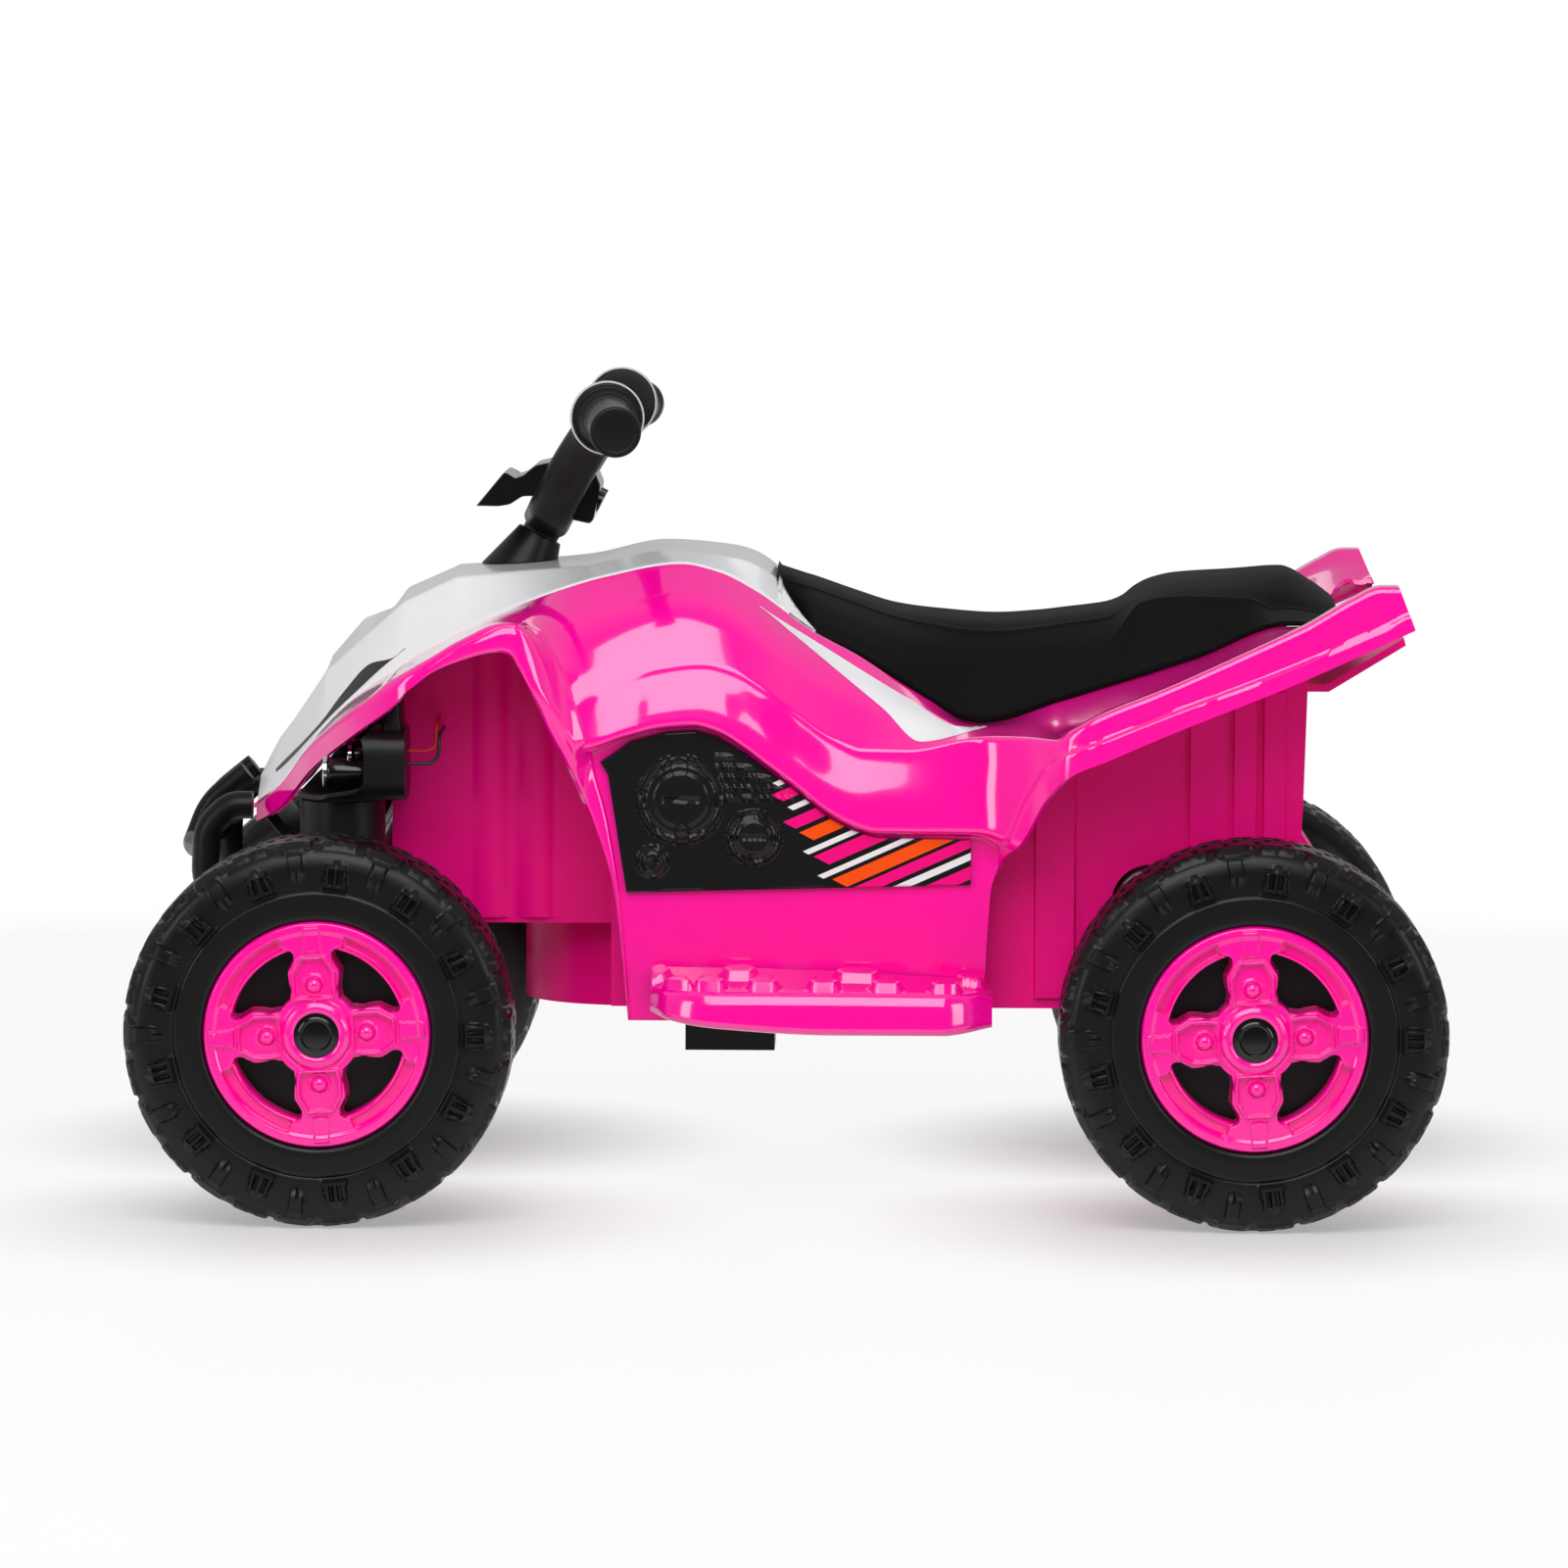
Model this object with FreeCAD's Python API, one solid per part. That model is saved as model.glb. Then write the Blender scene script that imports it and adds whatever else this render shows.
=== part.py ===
import FreeCAD, Part
import math
import os

from FreeCAD import Vector

# Kids' ride-on quad bike: a moulded body on a hollow chassis tub, steered front wheels on kingpins,
# a handlebar on a raked column, and a battery, motor and gear train that drive the left rear wheel.
# Frame: millimetres, +X to the rear, +Y to the rider's right, +Z up, origin on the floor midway between axles.

# Driving dimensions
WHEELBASE = 494.0
OVERALL_WIDTH = 420.0
WHEEL_DIAMETER = 206.0
TYRE_WIDTH = 75.0
RIM_DIAMETER = 120.0
HUB_DIAMETER = 26.0
WHEEL_WALL = 3.0
CAP_DIAMETER = 24.0
REAR_AXLE_DIAMETER = 10.0
STUB_AXLE_DIAMETER = 9.0
RUNNING_CLEARANCE = 0.05
SEAT_CLEARANCE = 0.3
PART_GAP = 0.5
BODY_WALL = 2.6
TUB_WALL = 3.0
TUB_HALF_WIDTH = 116.0
TUB_FRONT_HALF_WIDTH = 78.0
BELLY_RADIUS = 60.0
BELLY_BOTTOM = 103.0
FOOTREST_DEPTH = 60.0
RAKE_DEG = 26.7
COLUMN_DIAMETER = 12.0
STEERING_ARM = 35.0
KINGPIN_DIAMETER = 10.0
KINGPIN_ROOM = 7.0
KINGPIN_SETBACK = 7.0
TOWER_DIAMETER = 46.0
GRIP_DIAMETER = 24.0
GRIP_LENGTH = 95.0
GRIP_FLANGE_DIAMETER = 38.0
HANDLE_HALF_SPAN = 205.0
BAR_DIAMETER = 22.0
BUMPER_DIAMETER = 15.0
BUMPER_HALF_SPAN = 75.0
MOTOR_DIAMETER = 36.0
MOTOR_LENGTH = 38.0
FIRST_MODULE = 1.0
SECOND_MODULE = 1.25
GEAR_WIDTH = 10.0
PINION_TEETH = 12
IDLER_TEETH = 64
OUTPUT_TEETH = 60
GEAR_BACKLASH = 0.2
CASE_WALL = 3.0
BATTERY_LENGTH = 70.0
BATTERY_WIDTH = 100.0
BATTERY_HEIGHT = 47.0
WIRE_DIAMETER = 2.0
SCREW_DIAMETER = 8.0
SCREW_HEAD = 2.5

# The body outlines below are drawn for this wheelbase, width and axle height
DRAWN_WHEELBASE = 494.0
DRAWN_WIDTH = 420.0
DRAWN_AXLE_HEIGHT = 103.0

AXLE_Z = WHEEL_DIAMETER / 2
FRONT_X = -WHEELBASE / 2
REAR_X = WHEELBASE / 2
HALF_WIDTH = OVERALL_WIDTH / 2
UP = Vector(0, 0, 1)
ACROSS = Vector(0, 1, 0)
BACK = Vector(1, 0, 0)
NODES = {}


def along(x):
    """A drawn X place carried to the wheelbase in use."""
    return x * WHEELBASE / DRAWN_WHEELBASE


def across(y):
    """A drawn Y place carried to the width in use."""
    return y * OVERALL_WIDTH / DRAWN_WIDTH


def above(z):
    """A drawn Z place carried to the axle height in use."""
    return z + AXLE_Z - DRAWN_AXLE_HEIGHT


def place(x, y, z):
    return Vector(along(x), across(y), above(z))


def node(name, *shapes):
    """Keeps the solids of one named piece."""
    NODES[name] = shapes[0] if len(shapes) == 1 else Part.makeCompound(list(shapes))


def fuse(shapes):
    return shapes[0].fuse(list(shapes[1:])).removeSplitter()


def mirrored(shape):
    """The same piece on the other side of the bike."""
    return shape.mirror(Vector(0, 0, 0), ACROSS)


def cylinder(start, axis, radius, length):
    return Part.makeCylinder(radius, length, start, axis)


def ring(start, axis, outer, inner, length):
    return cylinder(start, axis, outer, length).cut(cylinder(start, axis, inner, length))


def block(low, high):
    size = high - low
    return Part.makeBox(size.x, size.y, size.z, low)


def side_face(points, y):
    corners = [Vector(x, y, z) for x, z in points]
    return Part.Face(Part.makePolygon(corners + corners[:1]))


def side_prism(points, low_y, high_y):
    """A side-view outline carried across the bike."""
    return side_face(points, low_y).extrude(Vector(0, high_y - low_y, 0))


def drawn_outline(points):
    return [(along(x), above(z)) for x, z in points]


def plan_prism(points, low_z, high_z):
    """A plan-view outline carried upwards."""
    corners = [Vector(x, y, low_z) for x, y in points]
    return Part.Face(Part.makePolygon(corners + corners[:1])).extrude(Vector(0, 0, high_z - low_z))


def turned(profile, centre, side):
    """A (radius, depth) outline turned about the wheel axis, depth counted inwards from the outer face."""
    corners = [Vector(centre.x, side * (HALF_WIDTH - depth), centre.z + radius) for radius, depth in profile]
    face = Part.Face(Part.makePolygon(corners + corners[:1]))
    return face.revolve(centre, ACROSS, 360)


def rounded_wire(points, share=0.45):
    """Straight runs joined by tangent arcs as large as the runs allow."""
    edges = []
    start = points[0]
    for before, corner, after in zip(points, points[1:], points[2:]):
        run_in = corner - before
        run_out = after - corner
        turn = run_in.getAngle(run_out)
        reach = share * min(run_in.Length, run_out.Length)
        first = corner - run_in.normalize() * reach
        last = corner + run_out.normalize() * reach
        bisector = (last + first) * 0.5 - corner
        radius = reach / math.tan(turn / 2)
        sink = radius / math.cos(turn / 2) - radius
        middle = corner + bisector.normalize() * sink
        edges.append(Part.LineSegment(start, first).toShape())
        edges.append(Part.Arc(first, middle, last).toShape())
        start = last
    edges.append(Part.LineSegment(start, points[-1]).toShape())
    return Part.Wire(edges)


def tube(points, diameter):
    """A round bar along straight runs and tangent arcs."""
    path = rounded_wire(points) if len(points) > 2 else Part.makePolygon(points)
    circle = Part.Wire(Part.makeCircle(diameter / 2, points[0], points[1] - points[0]))
    return path.makePipeShell([circle], True, False)


def at(rail, x):
    """The (y, z) of a rail of (x, y, z) points at a station, straight between its points."""
    for (x0, y0, z0), (x1, y1, z1) in zip(rail, rail[1:]):
        if x0 <= x <= x1:
            t = (x - x0) / (x1 - x0)
            return y0 + t * (y1 - y0), z0 + t * (z1 - z0)
    return rail[-1][1:] if x > rail[-1][0] else rail[0][1:]


# Body skin: rails run from nose to tail, and a section joins them from the centre line out and down
CENTRE_RAIL = [(-290, 0, 228), (-282, 0, 244), (-256, 0, 277), (-253, 0, 289), (-235, 0, 310), (-219, 0, 316),
               (-211, 0, 327), (-182, 0, 340), (-112, 0, 344), (-70, 0, 352), (-40, 0, 350), (-8, 0, 338),
               (-3, 0, 300), (30, 0, 271), (60, 0, 255), (100, 0, 246), (150, 0, 262), (270, 0, 306), (330, 0, 328)]
SHOULDER_RAIL = [(-290, 30, 226), (-282, 34, 241), (-253, 44, 284), (-211, 52, 322), (-182, 56, 336),
                 (-112, 60, 343), (-70, 62, 351), (-40, 62, 349), (-8, 58, 336), (-3, 58, 302), (30, 60, 272),
                 (60, 62, 256), (100, 64, 247), (150, 66, 263), (270, 66, 307), (330, 66, 329)]
SEAM_RAIL = [(-290, 56, 214), (-278, 66, 223), (-255, 78, 253), (-237, 84, 271), (-205, 90, 293), (-181, 92, 307),
             (-152, 94, 321), (-98, 98, 340), (-58, 100, 347), (-39, 99, 343), (-19, 97, 333), (12, 93, 311),
             (38, 92, 297), (58, 92, 284), (76, 93, 273), (95, 94, 262), (104, 94, 261), (146, 95, 273),
             (219, 96, 296), (268, 96, 314), (330, 130, 313)]
CREASE_RAIL = [(-290, 63, 208), (-278, 76, 217), (-255, 108, 245), (-230, 140, 266), (-200, 160, 288),
               (-175, 164, 307), (-146, 165, 319), (-140, 164, 319), (-132, 161, 314), (-125, 157, 304),
               (-119, 154, 291), (-113, 150, 277), (-93, 143, 285), (-70, 142, 293), (-46, 142, 296),
               (-29, 142, 292), (-15, 142, 284), (5, 141, 269), (24, 141, 256), (40, 142, 250), (63, 143, 250),
               (101, 148, 257), (125, 162, 258), (141, 176, 258), (150, 183, 264), (162, 187, 271),
               (198, 188, 286), (268, 188, 318), (318, 188, 341), (330, 188, 341)]
BAND_RAIL = [(-290, 64, 190), (-278, 77, 196), (-255, 109, 220), (-230, 141, 240), (-200, 161, 262),
             (-146, 166, 285), (-132, 163, 279), (-119, 156, 263), (-113, 153, 250), (-105, 151, 251),
             (-86, 150, 257), (-65, 152, 262), (-50, 152, 263), (-38, 152, 260), (-23, 151, 251), (-15, 151, 245),
             (5, 150, 230), (21, 150, 217), (34, 150, 210), (47, 150, 206), (100, 152, 206), (125, 166, 200),
             (150, 184, 220), (166, 188, 232), (330, 188, 300)]
RECESS_RAIL = [(-290, 63, 184), (-255, 108, 214), (-200, 160, 254), (-132, 159, 269), (-119, 152, 254),
               (-113, 147, 243), (-105, 140, 247), (-86, 139, 256), (-65, 139, 261), (-50, 139, 262),
               (-38, 139, 259), (-23, 139, 250), (-15, 139, 244), (21, 139, 216), (34, 139, 209), (47, 139, 205),
               (100, 140, 204), (110, 140, 200), (125, 160, 192), (150, 183, 210), (330, 187, 292)]
PANEL_BOTTOM = 104.0
# Wheel openings in the side view: everything under these lines is open
FRONT_ARCH = [(-310, 196), (-290, 203), (-278, 211), (-255, 236), (-230, 257), (-207, 275), (-196, 289),
              (-173, 298), (-154, 303), (-147, 301), (-141, 292), (-129, 266), (-113, 234), (-101, 202), (-93, 174),
              (-85, 104)]
REAR_ARCH = [(104, 104), (109, 178), (127, 206), (138, 226), (152, 241), (166, 247), (198, 261), (269, 290),
             (345, 325)]
COWL_TAIL = [(-6, 0), (-4, 58), (14, 93)]
TAIL_NOTCH = [(298, 0), (298, 100), (316, 146), (345, 146)]
TAIL_SLANT = [(320.5, 343), (331, 316)]
TAIL_END = [(146.5, 319), (187, 339), (187, 317), (146.5, 312)]
BATTERY_HATCH = [(20, 45), (120, 45), (120, -45), (20, -45)]
UNDER_FLOOR = -200.0
OVER_TOP = 500.0


def station_section(x):
    """The body skin's closed section at a station: outer line out and down both sides, then the inner line back."""
    half = [at(rail, x) for rail in (CENTRE_RAIL, SHOULDER_RAIL, SEAM_RAIL, CREASE_RAIL, BAND_RAIL, RECESS_RAIL)]
    half.append((half[-1][0], PANEL_BOTTOM))
    half = [(across(y), above(z)) for y, z in half]
    inner = []
    for i, (y, z) in enumerate(half):
        before = half[max(i - 1, 0)]
        after = half[min(i + 1, len(half) - 1)]
        run_y, run_z = after[0] - before[0], after[1] - before[1]
        length = math.hypot(run_y, run_z)
        inner.append((y + BODY_WALL * run_z / length, z - BODY_WALL * run_y / length))
    inner[0] = (0.0, half[0][1] - BODY_WALL)
    outer_line = [(-y, z) for y, z in half[:0:-1]] + half
    inner_line = inner[:0:-1] + inner[:1] + [(-y, z) for y, z in inner[1:]]
    line = outer_line + inner_line
    corners = [Vector(along(x), y, z) for y, z in line]
    return Part.makePolygon(corners + corners[:1])


def body_shells():
    """The white front cowl and the pink body, parted from one skin along the seam."""
    rails = (CENTRE_RAIL, SHOULDER_RAIL, SEAM_RAIL, CREASE_RAIL, BAND_RAIL, RECESS_RAIL)
    stations = sorted({x for rail in rails for x, _, _ in rail})
    skin = Part.makeLoft([station_section(x) for x in stations], True, True)
    for arch in (FRONT_ARCH, REAR_ARCH):
        outline = drawn_outline(arch)
        outline = [(outline[0][0], UNDER_FLOOR)] + outline + [(outline[-1][0], UNDER_FLOOR)]
        skin = skin.cut(side_prism(outline, -OVERALL_WIDTH, OVERALL_WIDTH))
    seam = [(x, y - 1.5) for x, y, _ in SEAM_RAIL if x <= 12]
    half = [(-300, seam[0][1])] + seam + COWL_TAIL[::-1]
    plan = half + [(x, -y) for x, y in half[::-1] if y]
    cowl_block = plan_prism([(along(x), across(y)) for x, y in plan], 0, OVER_TOP)
    notch = TAIL_NOTCH + [(x, -y) for x, y in TAIL_NOTCH[:0:-1]]
    tail_block = plan_prism([(along(x), across(y)) for x, y in notch], 0, OVER_TOP)
    hatch = plan_prism([(along(x), across(y)) for x, y in BATTERY_HATCH], above(200), above(300))
    cowl = skin.common(cowl_block)
    body = skin.cut(cowl_block).cut(tail_block).cut(hatch)
    slant = drawn_outline(TAIL_SLANT)
    behind = [(along(345), z) for _, z in slant[::-1]]
    body = body.cut(side_prism(slant + behind, -OVERALL_WIDTH, OVERALL_WIDTH))
    slab = [(x - BODY_WALL, z) for x, z in slant] + slant[::-1]
    corners = [place(310, y, z) for y, z in TAIL_END]
    filled = Part.Face(Part.makePolygon(corners + corners[:1])).extrude(Vector(along(30), 0, 0))
    end_wall = filled.common(side_prism(slab, 0, OVERALL_WIDTH))
    return cowl, fuse([body, end_wall, mirrored(end_wall)])


# Steering frame: the column leans back, and the handlebar stands in the leaning plane
RAKE = math.radians(RAKE_DEG)
COLUMN_UP = Vector(math.sin(RAKE), 0, math.cos(RAKE))
COLUMN_FRONT = Vector(-math.cos(RAKE), 0, math.sin(RAKE))
BOOT_TOP = place(-137, 0, 360)
KINGPIN_X = FRONT_X + KINGPIN_SETBACK
KINGPIN_Y = HALF_WIDTH - TYRE_WIDTH - TOWER_DIAMETER / 2 - KINGPIN_ROOM
HUB_DEPTH = 18.0
WEB_DEPTH = 24.0
HUB_OVERHANG = 1.0
AXLE_END = HALF_WIDTH - 6
HUB_END = HALF_WIDTH - TYRE_WIDTH - HUB_OVERHANG
ARM_Z = AXLE_Z + 2
ARM_THICKNESS = 6.0
ARM_PIN_DIAMETER = 8.0
LINK_THICKNESS = 5.0
LINK_Z = ARM_Z + PART_GAP / 2
KNUCKLE_TOP = AXLE_Z + 26
TOWER_TOP = above(219)
BEAM_LOW = above(150)
BEAM_HIGH = above(176)
BEAM_FRONT = KINGPIN_X - 20
TUB_FRONT_X = along(-215)
BUSH_DIAMETER = COLUMN_DIAMETER + 8
SLOT_LENGTH = 30.0
CRANK_PIN_DIAMETER = 8.0
COLUMN_FOOT = (BOOT_TOP.z - LINK_Z - LINK_THICKNESS - 22) / math.cos(RAKE)


def on_column(height, front=0.0, side=0.0):
    """A point measured up the column from the boot's top, forwards of it and to the side."""
    return BOOT_TOP + COLUMN_UP * height + COLUMN_FRONT * front + ACROSS * side


def column_prism(outline, half):
    """A (front, height) outline in the leaning plane carried across the bike."""
    corners = [on_column(height, front, -half) for front, height in outline]
    return Part.Face(Part.makePolygon(corners + corners[:1])).extrude(ACROSS * (2 * half))


def wheel(side, centre_x, bore):
    """Tyre, spoked cover and hub cap of one wheel, as separate solids."""
    centre = Vector(centre_x, 0, AXLE_Z)
    tread = WHEEL_DIAMETER / 2
    rim = RIM_DIAMETER / 2
    hub = HUB_DIAMETER / 2
    hole = bore / 2 + RUNNING_CLEARANCE
    wall = WHEEL_WALL
    seat = rim + SEAT_CLEARANCE
    width = TYRE_WIDTH
    back = WEB_DEPTH + wall
    outer = [(hole, HUB_DEPTH), (hub, HUB_DEPTH), (hub, WEB_DEPTH), (seat, WEB_DEPTH), (seat, 6), (rim + 16, 3),
             (rim + 18, 0), (tread - 13, 0), (tread - 5, 6), (tread, 18), (tread, width - 17),
             (tread - 5, width - 8), (tread - 13, width - 2), (rim + 10, width), (hub + 27, width)]
    inner = [(hub + 27, width - wall), (rim + 10, width - wall), (tread - 14, width - 2 - wall),
             (tread - 5 - wall, width - 9.5), (tread - wall, width - 18), (tread - wall, 19),
             (tread - 5 - wall / 2, 9), (tread - 14, wall), (rim + 19, wall), (seat + wall, 9), (seat + wall, back),
             (hub, back), (hub, width + HUB_OVERHANG), (hole, width + HUB_OVERHANG)]
    tyre = turned(outer + inner, centre, side)
    pocket = CAP_DIAMETER / 2
    spoke_ring = rim - 15
    cover = fuse([
        turned([(spoke_ring, 4), (rim, 5), (rim, 12), (spoke_ring, 12)], centre, side),
        turned([(pocket, 2), (pocket + 5, 3), (pocket + 5, HUB_DEPTH), (pocket, HUB_DEPTH)], centre, side),
    ] + [spoke(centre, side, turn, pocket + 3, spoke_ring + 4) for turn in (0, 90, 180, 270)])
    edge = pocket - SEAT_CLEARANCE
    cap = turned([(0, 2.6), (edge, 2.6), (edge, 5), (0, 5)], centre, side)
    return tyre, cover, cap


def spoke(centre, side, turn, inner, outer):
    """One spoke of a wheel cover with its round bolt head."""
    low_y, high_y = sorted((side * (HALF_WIDTH - 14), side * (HALF_WIDTH - 5)))
    waist, foot, flare = 10.0, 17.0, 14.0
    outline = [(-waist, inner), (waist, inner), (waist, outer - flare), (foot, outer), (-foot, outer),
               (-waist, outer - flare)]
    arm = side_prism([(centre.x + x, centre.z + z) for x, z in outline], low_y, high_y)
    head = Part.makeSphere(3.6, Vector(centre.x, side * (HALF_WIDTH - 5), centre.z + inner + 10))
    arm = arm.fuse(head)
    arm.rotate(centre, ACROSS, turn)
    return arm


def axle_nut(side, centre_x, diameter):
    """A lock nut and washer outside a wheel hub."""
    washer_face = HALF_WIDTH - HUB_DEPTH + SEAT_CLEARANCE
    washer_thickness, nut_thickness, nut_radius, washer_radius = 1.2, 6.0, 8.0, 10.0
    nut_face = side * (washer_face + washer_thickness)
    turns = [math.radians(a) for a in range(0, 360, 60)]
    rim = [(nut_radius * math.cos(a), nut_radius * math.sin(a)) for a in turns]
    corners = [Vector(centre_x + x, nut_face, AXLE_Z + z) for x, z in rim]
    nut = Part.Face(Part.makePolygon(corners + corners[:1])).extrude(ACROSS * (side * nut_thickness))
    foot = Vector(centre_x, side * washer_face, AXLE_Z)
    washer = cylinder(foot, ACROSS * side, washer_radius, washer_thickness)
    hole = cylinder(Vector(centre_x, 0, AXLE_Z), ACROSS * side, diameter / 2, OVERALL_WIDTH)
    return nut.fuse(washer).removeSplitter().cut(hole)


def build_wheels():
    for end, centre_x, bore in (("front", FRONT_X, STUB_AXLE_DIAMETER), ("rear", REAR_X, REAR_AXLE_DIAMETER)):
        for hand, side in (("left", -1), ("right", 1)):
            tyre, cover, cap = wheel(side, centre_x, bore)
            node(f"tyre_{end}_{hand}", tyre)
            node(f"wheel_cover_{end}_{hand}", cover)
            node(f"hub_cap_{end}_{hand}", cap)
    for hand, side in (("left", -1), ("right", 1)):
        node(f"axle_nut_front_{hand}", axle_nut(side, FRONT_X, STUB_AXLE_DIAMETER))
    node("axle_nuts_rear", *[axle_nut(side, REAR_X, REAR_AXLE_DIAMETER) for side in (-1, 1)])
    start = Vector(REAR_X, -AXLE_END, AXLE_Z)
    node("rear_axle", cylinder(start, ACROSS, REAR_AXLE_DIAMETER / 2, 2 * AXLE_END))


def knuckle(side):
    """Steering knuckle: kingpin, turning block, rear arm with its pin, and the stub axle with its collar."""
    y = side * KINGPIN_Y
    foot = Vector(KINGPIN_X, y, AXLE_Z - 18)
    barrel = cylinder(foot, UP, TOWER_DIAMETER / 2 - 5, KNUCKLE_TOP - foot.z)
    pin = cylinder(foot, UP, KINGPIN_DIAMETER / 2, TOWER_TOP - 12 - foot.z)
    eye = Vector(KINGPIN_X + STEERING_ARM, y, ARM_Z - ARM_THICKNESS)
    arm = block(Vector(KINGPIN_X, y - 8, eye.z), Vector(eye.x, y + 8, ARM_Z))
    boss = cylinder(eye, UP, 8, ARM_THICKNESS)
    stud = cylinder(eye, UP, ARM_PIN_DIAMETER / 2, ARM_THICKNESS + LINK_THICKNESS + 4)
    hub_centre = Vector(FRONT_X, y, AXLE_Z)
    collar = cylinder(hub_centre, ACROSS * side, STUB_AXLE_DIAMETER, HUB_END - PART_GAP - KINGPIN_Y)
    stub = cylinder(hub_centre, ACROSS * side, STUB_AXLE_DIAMETER / 2, AXLE_END - KINGPIN_Y)
    return fuse([barrel, pin, arm, boss, stud, collar, stub])


def build_front_end():
    """The cross frame with its two kingpin towers, the knuckles and the tie rod."""
    node("steering_knuckle_left", knuckle(-1))
    node("steering_knuckle_right", knuckle(1))
    frame = block(Vector(BEAM_FRONT, -KINGPIN_Y, BEAM_LOW), Vector(TUB_FRONT_X, KINGPIN_Y, BEAM_HIGH))
    for side in (-1, 1):
        base = Vector(KINGPIN_X, side * KINGPIN_Y, KNUCKLE_TOP + PART_GAP)
        frame = frame.fuse(cylinder(base, UP, TOWER_DIAMETER / 2, TOWER_TOP - base.z))
    for side in (-1, 1):
        base = Vector(KINGPIN_X, side * KINGPIN_Y, 0)
        frame = frame.cut(cylinder(base, UP, KINGPIN_DIAMETER / 2 + RUNNING_CLEARANCE, TOWER_TOP - 11))
    node("front_axle_frame", frame.cut(cylinder(on_column(-COLUMN_FOOT), COLUMN_UP, BUSH_DIAMETER / 2, COLUMN_FOOT)))
    node("tie_rod", tie_rod())


def tie_rod():
    """The link between the two knuckle arms, with the slot that the column's crank pin pushes."""
    top = LINK_Z + LINK_THICKNESS
    eye_x = KINGPIN_X + STEERING_ARM
    crank_x = crank_pin_at((LINK_Z + top) / 2).x
    half_bar, half_pad, end_radius = 7.0, 15.0, 9.0
    half_slot = CRANK_PIN_DIAMETER / 2 + PART_GAP
    bar = block(Vector(eye_x - half_bar, -KINGPIN_Y, LINK_Z), Vector(eye_x + half_bar, KINGPIN_Y, top))
    front = crank_x - SLOT_LENGTH / 2
    pad = block(Vector(front - 5, -half_pad, LINK_Z), Vector(eye_x + half_bar, half_pad, top))
    ends = [cylinder(Vector(eye_x, side * KINGPIN_Y, LINK_Z), UP, end_radius, LINK_THICKNESS) for side in (-1, 1)]
    slot = block(Vector(front, -half_slot, LINK_Z - 1), Vector(front + SLOT_LENGTH, half_slot, top + 1))
    left = cylinder(Vector(eye_x, -KINGPIN_Y, 0), UP, ARM_PIN_DIAMETER / 2 + RUNNING_CLEARANCE, BOOT_TOP.z)
    right = cylinder(Vector(eye_x, KINGPIN_Y, 0), UP, ARM_PIN_DIAMETER / 2 + PART_GAP, BOOT_TOP.z)
    return fuse([bar, pad] + ends).cut(slot).cut(left).cut(right)


def crank_pin_at(z):
    """Where the crank pin's line, parallel to the column, crosses a level."""
    tip = on_column(-COLUMN_FOOT, -STEERING_ARM)
    return tip + COLUMN_UP * ((z - tip.z) / COLUMN_UP.z)


def build_column():
    """The steel column with its crank, the lower bush and the boot on the cowl."""
    rod = cylinder(on_column(-COLUMN_FOOT), COLUMN_UP, COLUMN_DIAMETER / 2, COLUMN_FOOT + 20)
    web = cylinder(on_column(-COLUMN_FOOT), COLUMN_FRONT * -1, CRANK_PIN_DIAMETER / 2, STEERING_ARM)
    tip = on_column(-COLUMN_FOOT, -STEERING_ARM)
    pin_foot = crank_pin_at(LINK_Z - 4)
    pin = cylinder(pin_foot, COLUMN_UP, CRANK_PIN_DIAMETER / 2, (tip - pin_foot).Length)
    node("steering_column", fuse([rod, web, pin, Part.makeSphere(CRANK_PIN_DIAMETER / 2, tip)]))
    low = (BOOT_TOP.z - BEAM_LOW) / math.cos(RAKE)
    high = (BOOT_TOP.z - BEAM_HIGH) / math.cos(RAKE)
    running = COLUMN_DIAMETER / 2 + RUNNING_CLEARANCE
    node("lower_column_bush", ring(on_column(-low), COLUMN_UP, BUSH_DIAMETER / 2, running, low - high))
    boot = Part.makeCone(21.5, 12.5, 28, on_column(-32), COLUMN_UP)
    roof = drawn_outline([(x, z) for x, _, z in CENTRE_RAIL if x < -60])
    under_cowl = side_prism(roof + [(roof[-1][0], 0), (roof[0][0], 0)], -KINGPIN_Y, KINGPIN_Y)
    node("column_boot", boot.cut(under_cowl).cut(cylinder(on_column(-60), COLUMN_UP, running, 120)))


GRIP_HEIGHT = 75.6
ARM_SWEEP = -5.6
GRIP_SWEEP = -14.6
VISOR = [(9, 36), (13.5, 35.7), (21, 26.3), (26, 18.3), (32, 19.6), (38, -4), (25.5, 1.7), (17.5, 12.5), (9, 16)]
DASH_LIP = [(-9, 42.5), (-11, 42.5), (-17.8, 38), (-23.7, 17.5), (-22.8, 14.8), (-9, 13)]
DASH_CORE = [(10, 16), (10, 36), (-10, 42), (-10, 14)]
BUTTON_DIAMETER = 12.0
BUTTON_SIDE = 13.0
BUTTON_LENGTH = 5.5


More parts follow.
